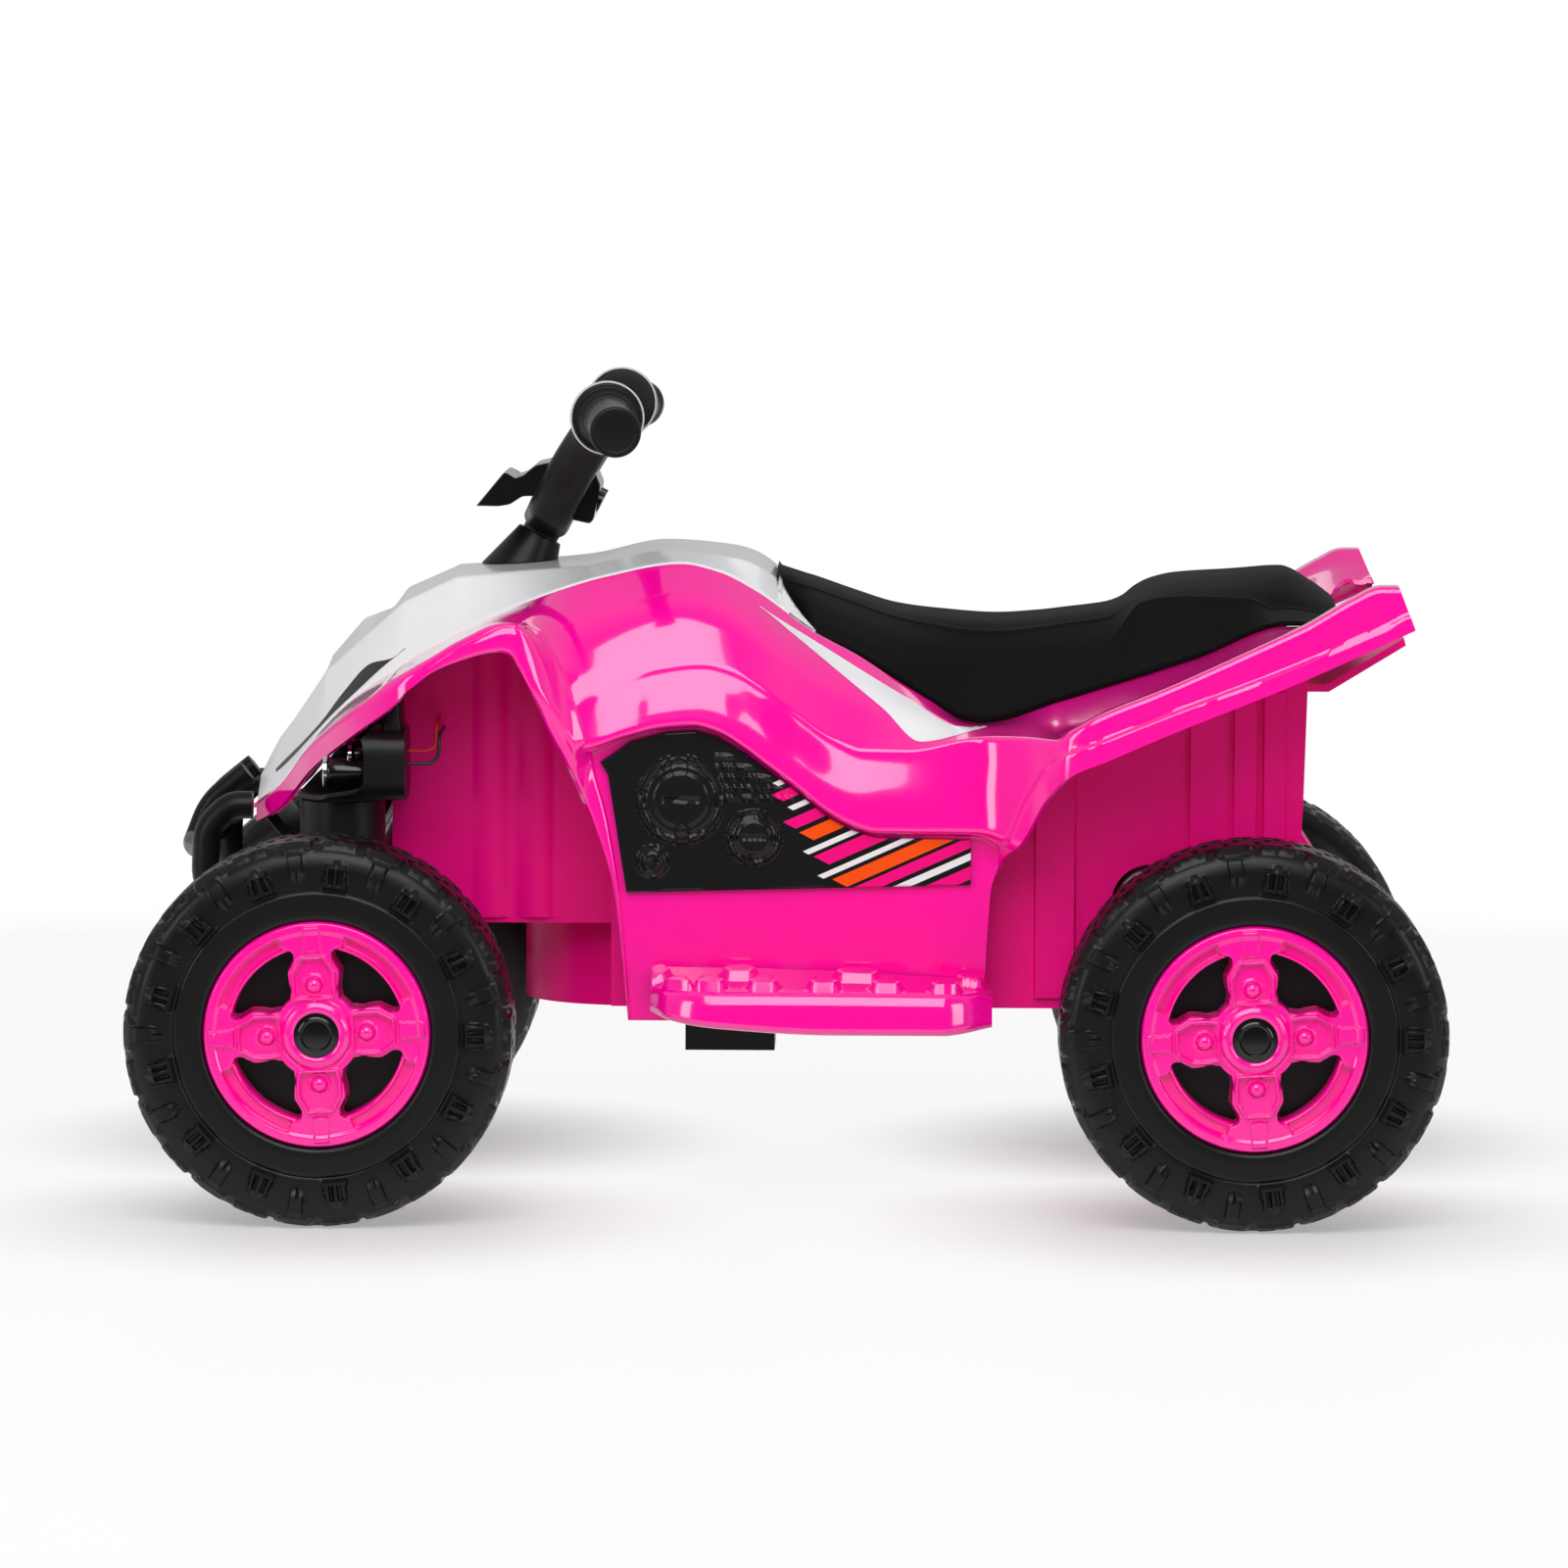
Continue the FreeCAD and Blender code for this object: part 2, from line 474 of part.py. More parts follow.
def build_handlebar():
    """The two-armed bar on the column with its grips, rings, dash pod and push buttons."""
    flange_y = HANDLE_HALF_SPAN - GRIP_LENGTH
    hub = cylinder(on_column(-3.5), COLUMN_UP, BAR_DIAMETER / 2, 30)
    socket = cylinder(on_column(-4), COLUMN_UP, COLUMN_DIAMETER / 2, 24)
    arms = []
    for side in (-1, 1):
        route = [on_column(8, 0, side * 4), on_column(34, 0, side * 24), on_column(66, ARM_SWEEP / 2, side * 48),
                 on_column(GRIP_HEIGHT, ARM_SWEEP, side * 84), on_column(GRIP_HEIGHT, ARM_SWEEP, side * flange_y)]
        arms.append(tube(route, BAR_DIAMETER))
    bar = fuse([hub] + arms).cut(socket)
    node("handlebar", bar)
    rings = []
    for hand, side in (("left", -1), ("right", 1)):
        start = on_column(GRIP_HEIGHT, ARM_SWEEP, side * flange_y)
        axis = on_column(GRIP_HEIGHT, GRIP_SWEEP, side * HANDLE_HALF_SPAN) - start
        length = axis.Length
        axis.normalize()
        flange = cylinder(start, axis, GRIP_FLANGE_DIAMETER / 2, 5)
        barrel = cylinder(start, axis, GRIP_DIAMETER / 2, length)
        knob = cylinder(start + axis * (length - 8), axis, GRIP_DIAMETER / 2 + 1.5, 8)
        node(f"grip_{hand}", fuse([flange, barrel, knob]).cut(bar))
        rings.append(ring(start + axis * 1.2, axis, GRIP_FLANGE_DIAMETER / 2 + 1, GRIP_FLANGE_DIAMETER / 2, 2.6))
    node("grip_rings", *rings)
    pod = fuse([column_prism(VISOR, 34), column_prism(DASH_CORE, 20), column_prism(DASH_LIP, 28)])
    pod = pod.cut(bar).cut(cylinder(on_column(-10), COLUMN_UP, BAR_DIAMETER / 2, 40))
    for name, side in (("horn_button", -1), ("music_button", 1)):
        back = on_column(28, -17, side * BUTTON_SIDE)
        inward = COLUMN_FRONT * -1
        pocket = cylinder(back - inward * 3, inward, BUTTON_DIAMETER / 2 + SEAT_CLEARANCE, 20)
        pod = pod.cut(pocket)
        node(name, cylinder(back, inward, BUTTON_DIAMETER / 2, BUTTON_LENGTH))
    node("dash_pod", pod)


# Seat: its top line and half width along the bike; its underside follows the deck
SEAT_TOP = [(-7.5, 0, 341), (14, 0, 334), (34, 0, 327), (58, 0, 320), (82, 0, 317), (112, 0, 315), (136, 0, 316.5),
            (150, 0, 318.2), (174, 0, 321.4), (183, 0, 324), (190, 0, 329.6), (197, 0, 333.6), (211, 0, 337.2),
            (240, 0, 339.5), (267, 0, 341.6), (285, 0, 333), (296, 0, 325)]
SEAT_EDGE = [(-7.5, 46, 0), (-3, 55, 0), (14, 86, 0), (34, 90, 0), (99, 92, 0), (219, 94, 0), (268, 93, 0),
             (296, 86, 0)]
SEAT_CROWN = [(0.35, 0.06), (0.65, 0.30), (0.88, 0.64), (1.0, 0.90)]
SEAT_LIFT = 0.6
SEAT_WALL = 4.0


def deck_height(x, y):
    """The deck's height in the drawing at a place inside the seam."""
    line = [at(rail, x) for rail in (CENTRE_RAIL, SHOULDER_RAIL, SEAM_RAIL)]
    for (y0, z0), (y1, z1) in zip(line, line[1:]):
        if y <= y1:
            return z0 + (z1 - z0) * (y - y0) / (y1 - y0)
    return line[-1][1]


def seat_section(x, wall, lift):
    """The seat's section at a station, drawn in by a wall and lifted off the deck."""
    half = at(SEAT_EDGE, x)[0] - wall
    top = at(SEAT_TOP, x)[1] - wall
    shoulder = min(at(SHOULDER_RAIL, x)[0], 0.95 * half)
    low = [(half, deck_height(x, half)), (shoulder, deck_height(x, shoulder)), (0.0, deck_height(x, 0.0))]
    low = [(y, z + lift) for y, z in low]
    crown = [(0.0, top)] + [(half * share, top - drop * (top - low[0][1])) for share, drop in SEAT_CROWN]
    right = crown + low
    line = right + [(-y, z) for y, z in right[-2:0:-1]]
    corners = [place(x, y, z) for y, z in line]
    return Part.makePolygon(corners + corners[:1])


def seat():
    """The seat moulding, hollow from below."""
    rails = (CENTRE_RAIL, SHOULDER_RAIL, SEAM_RAIL, SEAT_TOP, SEAT_EDGE)
    first, last = SEAT_TOP[0][0], SEAT_TOP[-1][0]
    stations = sorted({x for rail in rails for x, _, _ in rail if first <= x <= last})
    whole = Part.makeLoft([seat_section(x, 0, SEAT_LIFT) for x in stations], True, True)
    middle = [x for x in stations if first + SEAT_WALL < x < last - 2 * SEAT_WALL]
    return whole.cut(Part.makeLoft([seat_section(x, SEAT_WALL, -SEAT_LIFT) for x in middle], True, True))


# Chassis tub: two open trays and a round-fronted belly
FRONT_TRAY_TOP = [(-215, 279), (-205, 289), (-178, 302), (-152, 312), (-92, 318)]
FRONT_TRAY = FRONT_TRAY_TOP + [(-92, 150), (-207, 150), (-215, 158)]
REAR_TRAY_TOP = [(-95, 276), (-10, 276), (20, 260), (60, 246), (100, 238), (150, 253), (278, 296)]
REAR_TRAY = REAR_TRAY_TOP + [(276, 226), (275, 204), (296, 172), (296, 54), (172, 54), (160, 109), (-95, 109)]
TAIL_LIP = [(274, 280), (289, 280), (330, 305), (329, 309), (288, 284), (274, 284)]
FRONT_RIBS = (-162, -137)
FRONT_RIB_DIAMETER = 40.0
REAR_RIBS = [(131.5, 154.5, 1.0), (214, 235, 0.1), (237.5, 251.5, 1.0), (253.5, 267, 1.0)]
RIB_RISE = 3.0
RIB_ROOT = 1.0
RIB_SLOPE = 1.2
RIB_TOP_GAP = 8.0
FRONT_RIB_FOOT = 153
REAR_RIB_FOOT = 115
BELLY_CENTRE = -86.0
BELLY_REAR = 100.0


def tray(outline, top, half_width):
    """An open-topped box with the outline as its side view."""
    points = drawn_outline(outline)
    box = side_prism(points, -half_width, half_width)
    inset = side_face(points, 0).OuterWire.makeOffset2D(-TUB_WALL, 2)
    hollow = Part.Face(inset).extrude(Vector(0, 2 * (half_width - TUB_WALL), 0))
    hollow.translate(Vector(0, TUB_WALL - half_width, 0))
    rim = drawn_outline(top)
    rim[0] = (rim[0][0] + TUB_WALL, rim[0][1])
    rim[-1] = (rim[-1][0] - TUB_WALL, rim[-1][1])
    lid = [(x, z - 2 * TUB_WALL) for x, z in rim] + [(x, z + TUB_WALL) for x, z in rim[::-1]]
    return box.cut(hollow).cut(side_prism(lid, TUB_WALL - half_width, half_width - TUB_WALL))


def soft_rib(x, side, wall, foot, top):
    """A shallow rounded rib: the part of a wide upright cylinder that stands out of a wall."""
    radius = FRONT_RIB_DIAMETER / 2
    centre = Vector(along(x), side * (wall + RIB_RISE - radius), foot)
    near, far = sorted((side * (wall - RIB_ROOT), side * (wall + RIB_RISE + RIB_ROOT)))
    room = block(Vector(centre.x - radius, near, foot), Vector(centre.x + radius, far, top))
    return cylinder(centre, UP, radius, top - foot).common(room)


def flat_rib(first, last, end_share, side, wall, foot, top):
    """A flat rib with slanted flanks; its far edge stands out by a share of the full rise."""
    root, near, far = wall - RIB_ROOT, wall + RIB_RISE, wall + RIB_RISE * end_share
    plan = [(first, root), (first + RIB_SLOPE, near), (last - RIB_SLOPE, far), (last, root)]
    return plan_prism([(along(x), side * y) for x, y in plan], foot, top)


def chassis_tub():
    front_half = across(TUB_FRONT_HALF_WIDTH)
    rear_half = across(TUB_HALF_WIDTH)
    belly_low = above(BELLY_BOTTOM)
    nose = Vector(along(BELLY_CENTRE), 0, belly_low)
    front_floor = above(150)
    parts = [tray(FRONT_TRAY, FRONT_TRAY_TOP, front_half), tray(REAR_TRAY, REAR_TRAY_TOP, rear_half)]
    parts.append(cylinder(nose, UP, BELLY_RADIUS, front_floor - belly_low))
    parts.append(block(Vector(nose.x, -BELLY_RADIUS, belly_low), Vector(along(BELLY_REAR), BELLY_RADIUS, above(110))))
    parts.append(side_prism(drawn_outline(TAIL_LIP), -rear_half + TUB_WALL, rear_half - TUB_WALL))
    front_top = [(x, 0, z) for x, z in FRONT_TRAY_TOP]
    rear_top = [(x, 0, z) for x, z in REAR_TRAY_TOP]
    for side in (-1, 1):
        for x in FRONT_RIBS:
            top = above(at(front_top, x)[1] - RIB_TOP_GAP)
            parts.append(soft_rib(x, side, front_half, above(FRONT_RIB_FOOT), top))
        for first, last, end_share in REAR_RIBS:
            top = above(at(rear_top, first)[1] - RIB_TOP_GAP)
            parts.append(flat_rib(first, last, end_share, side, rear_half, above(REAR_RIB_FOOT), top))
    axle_boss = Vector(REAR_X, rear_half - TUB_WALL, AXLE_Z)
    parts.append(cylinder(axle_boss, ACROSS, HUB_DIAMETER / 2, HUB_END - PART_GAP - axle_boss.y))
    tub = fuse(parts)
    tub = tub.cut(cylinder(nose + UP * TUB_WALL, UP, BELLY_RADIUS - TUB_WALL, above(170) - belly_low))
    tub = tub.cut(cylinder(on_column(-COLUMN_FOOT), COLUMN_UP, BUSH_DIAMETER / 2, COLUMN_FOOT))
    wall = Vector(REAR_X, -rear_half - 10, AXLE_Z)
    tub = tub.cut(cylinder(wall, ACROSS, SLEEVE_DIAMETER / 2 + PART_GAP, 20))
    tub = tub.cut(cylinder(Vector(REAR_X, 0, AXLE_Z), ACROSS, REAR_AXLE_DIAMETER / 2 + RUNNING_CLEARANCE, HALF_WIDTH))
    motor_at = Vector(MOTOR_X, -rear_half - 10, MOTOR_Z)
    return tub.cut(cylinder(motor_at, ACROSS, MOTOR_DIAMETER / 2 + 3, 20))


# Gear train: motor pinion, double idler and the output gear on the rear axle
FIRST_CENTRES = FIRST_MODULE * (PINION_TEETH + IDLER_TEETH) / 2
SECOND_CENTRES = SECOND_MODULE * (PINION_TEETH + OUTPUT_TEETH) / 2
MOTOR_REACH = FIRST_CENTRES + SECOND_CENTRES - 1
MOTOR_ANGLE = math.radians(130)
MOTOR_X = REAR_X + MOTOR_REACH * math.cos(MOTOR_ANGLE)
MOTOR_Z = AXLE_Z + MOTOR_REACH * math.sin(MOTOR_ANGLE)
IDLER_SQUARES = SECOND_CENTRES ** 2 + MOTOR_REACH ** 2 - FIRST_CENTRES ** 2
IDLER_BEND = math.acos(IDLER_SQUARES / (2 * SECOND_CENTRES * MOTOR_REACH))
IDLER_ANGLE = MOTOR_ANGLE + IDLER_BEND
IDLER_X = REAR_X + SECOND_CENTRES * math.cos(IDLER_ANGLE)
IDLER_Z = AXLE_Z + SECOND_CENTRES * math.sin(IDLER_ANGLE)
PRESSURE_ANGLE = math.radians(20)
ADDENDUM = 0.8
DEDENDUM = 1.1
GEAR_GAP = 2.0
SLEEVE_DIAMETER = 22.0
MOTOR_SHAFT_DIAMETER = 5.0
IDLER_PIN_DIAMETER = 6.0
MOTOR_OUT = -across(TUB_HALF_WIDTH) - 3
CASE_OUT = MOTOR_OUT + MOTOR_LENGTH
SECOND_Y = CASE_OUT + CASE_WALL + GEAR_GAP
FIRST_Y = SECOND_Y + GEAR_WIDTH + GEAR_GAP
CASE_IN = FIRST_Y + GEAR_WIDTH + GEAR_GAP
COVER_IN = CASE_IN + CASE_WALL


def gear(x, z, low_y, teeth, module, tooth_at):
    """A spur gear across the bike with involute flanks; one tooth points at the given side-view angle."""
    pitch = teeth * module / 2
    base = pitch * math.cos(PRESSURE_ANGLE)
    tip = pitch + ADDENDUM * module
    root = pitch - DEDENDUM * module
    half_tooth = math.pi / (2 * teeth) - GEAR_BACKLASH / (4 * pitch)
    roll = math.tan(PRESSURE_ANGLE) - PRESSURE_ANGLE
    start = max(base, root)
    flank = [(root, half_tooth + roll)] if root < base else []
    for step in range(5):
        radius = start + (tip - start) * step / 4
        pressure = math.acos(base / radius)
        flank.append((radius, half_tooth + roll - math.tan(pressure) + pressure))
    outline = []
    for index in range(teeth):
        middle = tooth_at + 2 * math.pi * index / teeth
        outline += [(radius, middle - half) for radius, half in flank]
        outline += [(radius, middle + half) for radius, half in flank[::-1]]
    points = [(x + radius * math.cos(a), z + radius * math.sin(a)) for radius, a in outline]
    return side_prism(points, low_y, low_y + GEAR_WIDTH)


def across_cylinder(x, z, low_y, high_y, radius):
    return cylinder(Vector(x, low_y, z), ACROSS, radius, high_y - low_y)


def build_drive():
    """Motor, gears, gear case, battery and the lead between battery and motor."""
    to_idler = math.atan2(IDLER_Z - MOTOR_Z, IDLER_X - MOTOR_X)
    pinion = gear(MOTOR_X, MOTOR_Z, FIRST_Y, PINION_TEETH, FIRST_MODULE, to_idler)
    shaft_start = CASE_OUT - 6
    shaft = across_cylinder(MOTOR_X, MOTOR_Z, shaft_start, FIRST_Y + GEAR_WIDTH, MOTOR_SHAFT_DIAMETER / 2)
    node("motor_pinion", fuse([pinion, shaft]))
    first = gear(IDLER_X, IDLER_Z, FIRST_Y, IDLER_TEETH, FIRST_MODULE, to_idler + math.pi + math.pi / IDLER_TEETH)
    second = gear(IDLER_X, IDLER_Z, SECOND_Y, PINION_TEETH, SECOND_MODULE, IDLER_ANGLE + math.pi)
    neck = across_cylinder(IDLER_X, IDLER_Z, SECOND_Y, FIRST_Y, IDLER_PIN_DIAMETER)
    idler = fuse([first, second, neck])
    pin_hole = IDLER_PIN_DIAMETER / 2 + RUNNING_CLEARANCE
    node("idler_gear", idler.cut(across_cylinder(IDLER_X, IDLER_Z, CASE_OUT, CASE_IN, pin_hole)))
    output = gear(REAR_X, AXLE_Z, SECOND_Y, OUTPUT_TEETH, SECOND_MODULE, IDLER_ANGLE + math.pi / OUTPUT_TEETH)
    sleeve = across_cylinder(REAR_X, AXLE_Z, -HUB_END, SECOND_Y + GEAR_WIDTH, SLEEVE_DIAMETER / 2)
    axle_hole = REAR_AXLE_DIAMETER / 2 + RUNNING_CLEARANCE
    node("output_gear", fuse([output, sleeve]).cut(across_cylinder(REAR_X, AXLE_Z, -HALF_WIDTH, 0, axle_hole)))
    build_case(axle_hole)
    motor = across_cylinder(MOTOR_X, MOTOR_Z, MOTOR_OUT, CASE_OUT, MOTOR_DIAMETER / 2)
    boss = across_cylinder(MOTOR_X, MOTOR_Z, MOTOR_OUT - 1.5, MOTOR_OUT, 6)
    shaft_hole = MOTOR_SHAFT_DIAMETER / 2 + RUNNING_CLEARANCE
    node("motor", motor.fuse(boss).cut(across_cylinder(MOTOR_X, MOTOR_Z, shaft_start - 1, CASE_OUT, shaft_hole)))
    floor = above(109) + TUB_WALL
    corner = Vector(along(20), -BATTERY_WIDTH / 2, floor)
    battery = block(corner, corner + Vector(BATTERY_LENGTH, BATTERY_WIDTH, BATTERY_HEIGHT))
    post = Vector(corner.x + BATTERY_LENGTH - 12, -BATTERY_WIDTH / 2 + 14, floor + BATTERY_HEIGHT)
    posts = [cylinder(post + ACROSS * step, UP, 4, 6) for step in (0, 20)]
    node("battery", fuse([battery] + posts))
    can_top = Vector(MOTOR_X, (MOTOR_OUT + CASE_OUT) / 2, MOTOR_Z + MOTOR_DIAMETER / 2)
    high = can_top.z + 22
    plug = post + UP * 6
    node("motor_lead", tube([plug, Vector(plug.x, plug.y, high), Vector(can_top.x, can_top.y, high), can_top], 5))


def build_case(axle_hole):
    """The gear case with the idler's pin, and its cover."""
    idler_tip = FIRST_MODULE * (IDLER_TEETH / 2 + ADDENDUM)
    output_tip = SECOND_MODULE * (OUTPUT_TEETH / 2 + ADDENDUM)
    circles = [(REAR_X, AXLE_Z, output_tip), (IDLER_X, IDLER_Z, idler_tip), (MOTOR_X, MOTOR_Z, MOTOR_DIAMETER / 3)]
    skin = fuse([across_cylinder(x, z, CASE_OUT, CASE_IN, r + GEAR_GAP + CASE_WALL) for x, z, r in circles])
    room = fuse([across_cylinder(x, z, CASE_OUT + CASE_WALL, CASE_IN, r + GEAR_GAP) for x, z, r in circles])
    pin = across_cylinder(IDLER_X, IDLER_Z, CASE_OUT, CASE_IN, IDLER_PIN_DIAMETER / 2)
    foot_top = AXLE_Z - output_tip - GEAR_GAP - 1
    foot = block(Vector(REAR_X - 14, CASE_OUT, above(54) + TUB_WALL), Vector(REAR_X + 14, CASE_IN, foot_top))
    case = fuse([skin.cut(room), pin, foot.cut(room)])
    case = case.cut(across_cylinder(REAR_X, AXLE_Z, CASE_OUT, SECOND_Y, SLEEVE_DIAMETER / 2 + PART_GAP))
    node("gear_case", case.cut(across_cylinder(MOTOR_X, MOTOR_Z, CASE_OUT, SECOND_Y, MOTOR_SHAFT_DIAMETER / 2 + 1)))
    cover = fuse([across_cylinder(x, z, CASE_IN, COVER_IN, r + GEAR_GAP + CASE_WALL) for x, z, r in circles])
    node("gear_case_cover", cover.cut(across_cylinder(REAR_X, AXLE_Z, CASE_IN, COVER_IN, axle_hole)))


# Side pieces: engine panels in the recess, footrest boards under them, pedal and switches on the right
ENGINE_PANEL = [(-86, 173), (-96, 236), (-100, 243), (-84, 254), (-65, 259), (-50, 260), (-38, 257), (-23, 248),
                (-15, 242), (5, 227), (21, 214), (34, 207), (47, 203), (98, 202), (98, 178)]
ENGINE_COVERS = [(-52, 214, 24), (2, 198, 14)]
FOOTREST = [(-72, 114), (-70, 133), (100, 127), (108, 124), (109, 106), (82, 103), (25, 103), (-32, 106), (-59, 109)]
FOOTREST_ROOM = [(-66, 90), (-66, 129), (100, 123), (105, 121), (105, 90)]
PANEL_FACE = 140.0
PANEL_THICKNESS = 3.0
ROCKER_PLACES = {"power_switch": (40, 188), "direction_switch": (62, 188)}
SOCKET_PLACE = (83, 188)
PEDAL_HINGE = (-14, 139.5)
PEDAL_LENGTH = 48.0
PEDAL_WIDTH = 40.0
PEDAL_TILT_DEG = 10.0
PEDAL_PIN_DIAMETER = 5.0
PLUNGER_REACH = 38.0


def engine_panel():
    """The right-hand moulded engine panel: a plate with stepped round covers and bolt heads."""
    face = across(PANEL_FACE) + SEAT_CLEARANCE
    front = face + PANEL_THICKNESS
    parts = [side_prism(drawn_outline(ENGINE_PANEL), face, front)]
    for x, z, radius in ENGINE_COVERS:
        cx, cz = along(x), above(z)
        parts.append(across_cylinder(cx, cz, front - 1, front + 2.5, radius))
        parts.append(across_cylinder(cx, cz, front - 1, front + 4.5, radius * 0.62))
        for turn in range(30, 390, 60):
            angle = math.radians(turn)
            bolt_x = cx + radius * 0.82 * math.cos(angle)
            bolt_z = cz + radius * 0.82 * math.sin(angle)
            parts.append(across_cylinder(bolt_x, bolt_z, front, front + 4, 2))
    return fuse(parts)


def rocker(x, z):
    """A rocker switch on a pin along the bike, in the frame it tilts in."""
    face = across(PANEL_FACE) + SEAT_CLEARANCE
    half_x, half_z, wall, gap = 6.0, 8.2, 2.0, 0.4
    cx, cz, pivot = along(x), above(z), face + 4.2
    profile = [(2.4, -half_z), (2.4, half_z), (7.6, half_z), (6.2, 0), (7.6, -half_z)]
    corners = [Vector(cx - half_x, face + y, cz + dz) for y, dz in profile]
    key = Part.Face(Part.makePolygon(corners + corners[:1])).extrude(BACK * (2 * half_x))
    pin_half = half_x + gap + 1.2
    pin = cylinder(Vector(cx - pin_half, pivot, cz), BACK, 1.2, 2 * pin_half)
    low = Vector(cx - half_x - gap, face - 1, cz - half_z - 1)
    high = Vector(cx + half_x + gap, face + 12, cz + half_z + 1)
    frame = block(Vector(low.x - wall, face, low.z - wall), Vector(high.x + wall, face + 6.6, high.z + wall))
    pin_hole = cylinder(Vector(cx - pin_half - gap, pivot, cz), BACK, 1.2 + RUNNING_CLEARANCE, 2 * (pin_half + gap))
    return key.fuse(pin), frame, block(low, high).fuse(pin_hole)


def build_side_pieces():
    plain = engine_panel()
    node("engine_panel_left", mirrored(plain))
    right = plain
    for name, (x, z) in ROCKER_PLACES.items():
        key, frame, room = rocker(x, z)
        node(name, key)
        right = right.fuse(frame).removeSplitter().cut(room)
    node("engine_panel_right", right)
    front = across(PANEL_FACE) + SEAT_CLEARANCE + PANEL_THICKNESS
    x, z = along(SOCKET_PLACE[0]), above(SOCKET_PLACE[1])
    plug_room = across_cylinder(x, z, front + 1, front + 6, 3)
    node("charging_socket", across_cylinder(x, z, front, front + 3.5, 6.5).cut(plug_room))
    board = footrest()
    node("footrest_left", mirrored(board))
    build_pedal(board)


def footrest():
    """The right-hand footrest board, hollow from below."""
    inner = across(PANEL_FACE) + SEAT_CLEARANCE
    outer = inner + FOOTREST_DEPTH
    board = side_prism(drawn_outline(FOOTREST), inner, outer)
    return board.cut(side_prism(drawn_outline(FOOTREST_ROOM), inner + TUB_WALL, outer - TUB_WALL))


def build_pedal(board):
    """The foot pedal on the right board with the switch box under it."""
    hinge = Vector(along(PEDAL_HINGE[0]), across(PANEL_FACE) + FOOTREST_DEPTH / 2, above(PEDAL_HINGE[1]))
    half = PEDAL_WIDTH / 2
    pad = block(hinge + Vector(-PEDAL_LENGTH, -half, -2.5), hinge + Vector(2.5, half, 2.5))
    pad.rotate(hinge, ACROSS, PEDAL_TILT_DEG)
    ear_gap, ear = 1.0, 3.0
    pin_half = half + ear_gap + ear
    pin = cylinder(hinge - ACROSS * pin_half, ACROSS, PEDAL_PIN_DIAMETER / 2, 2 * pin_half)
    tilt = math.radians(PEDAL_TILT_DEG)
    push = hinge + Vector(-PLUNGER_REACH * math.cos(tilt), 0, PLUNGER_REACH * math.sin(tilt))
    plunger = cylinder(push - UP * 18, UP, 3.5, 18)
    node("pedal", fuse([pad, pin, plunger]))
    for side in (-1, 1):
        low_y = hinge.y + side * (half + ear_gap) - (ear if side < 0 else 0)
        low = Vector(hinge.x - 6, low_y, above(129))
        board = board.fuse(block(low, Vector(hinge.x + 6, low_y + ear, hinge.z + 5)))
    pin_hole = PEDAL_PIN_DIAMETER / 2 + RUNNING_CLEARANCE
    board = board.removeSplitter().cut(cylinder(hinge - ACROSS * pin_half, ACROSS, pin_hole, 2 * pin_half))
    well = cylinder(Vector(push.x, push.y, above(110)), UP, 7, 60)
    node("footrest_right", board.cut(well))
    box = block(Vector(along(-62), hinge.y - 24, above(54)), Vector(along(-11), hinge.y + 24, above(126.8)))
    node("pedal_switch_box", box.cut(well))


# Nose pieces: bumper tubes, grille, lamp pods with their lamps and leads
BUMPER_SIDE = [(-291, 213), (-303, 213), (-316, 200), (-317, 170), (-302, 155)]
BUMPER_GUARD = [(-298, 227), (-319, 210), (-327, 189)]
BUMPER_BOW = [(-316, 75, 190), (-326, 35, 188), (-326, -35, 188), (-316, -75, 190)]
GRILLE = [(-288, 211), (-284, 211), (-263, 184), (-260.3, 176), (-260.3, 158), (-265, 158), (-267, 181), (-288, 206)]
GRILLE_HALF = 50.0
POD_REAR = -204.0
LAMP_POD = [(-266, 219.5), (-264, 226), (-236, 249), (-208, 257), (POD_REAR, 257), (POD_REAR, 244), (-206, 233),
            (-212, 219.5)]
POD_INNER = 92.0
POD_OUTER = 148.0
POD_BACK = -229.0
LAMPS = [(-247, 131, 236, 8.8), (-235, 111, 243, 10.6)]
LEAD_HEIGHTS = {"red": (116, 246, -189, 262), "black": (126, 240, -187, 256)}


def build_nose():
    half = across(BUMPER_HALF_SPAN)
    end = Vector(BEAM_FRONT, half, (BEAM_LOW + BEAM_HIGH) / 2)
    parts = [tube([place(*p) for p in BUMPER_BOW], BUMPER_DIAMETER)]
    for side in (-1, 1):
        route = [Vector(along(x), side * half, above(z)) for x, z in BUMPER_SIDE]
        route.append(Vector(end.x, side * half, end.z))
        parts.append(tube(route, BUMPER_DIAMETER))
        parts.append(tube([place(x, side * 24, z) for x, z in BUMPER_GUARD], BUMPER_DIAMETER * 0.8))
    node("bumper", fuse(parts).cut(NODES["front_axle_frame"]))
    grille_half = across(GRILLE_HALF)
    node("front_grille", side_prism(drawn_outline(GRILLE), -grille_half, grille_half))
    build_lamps()


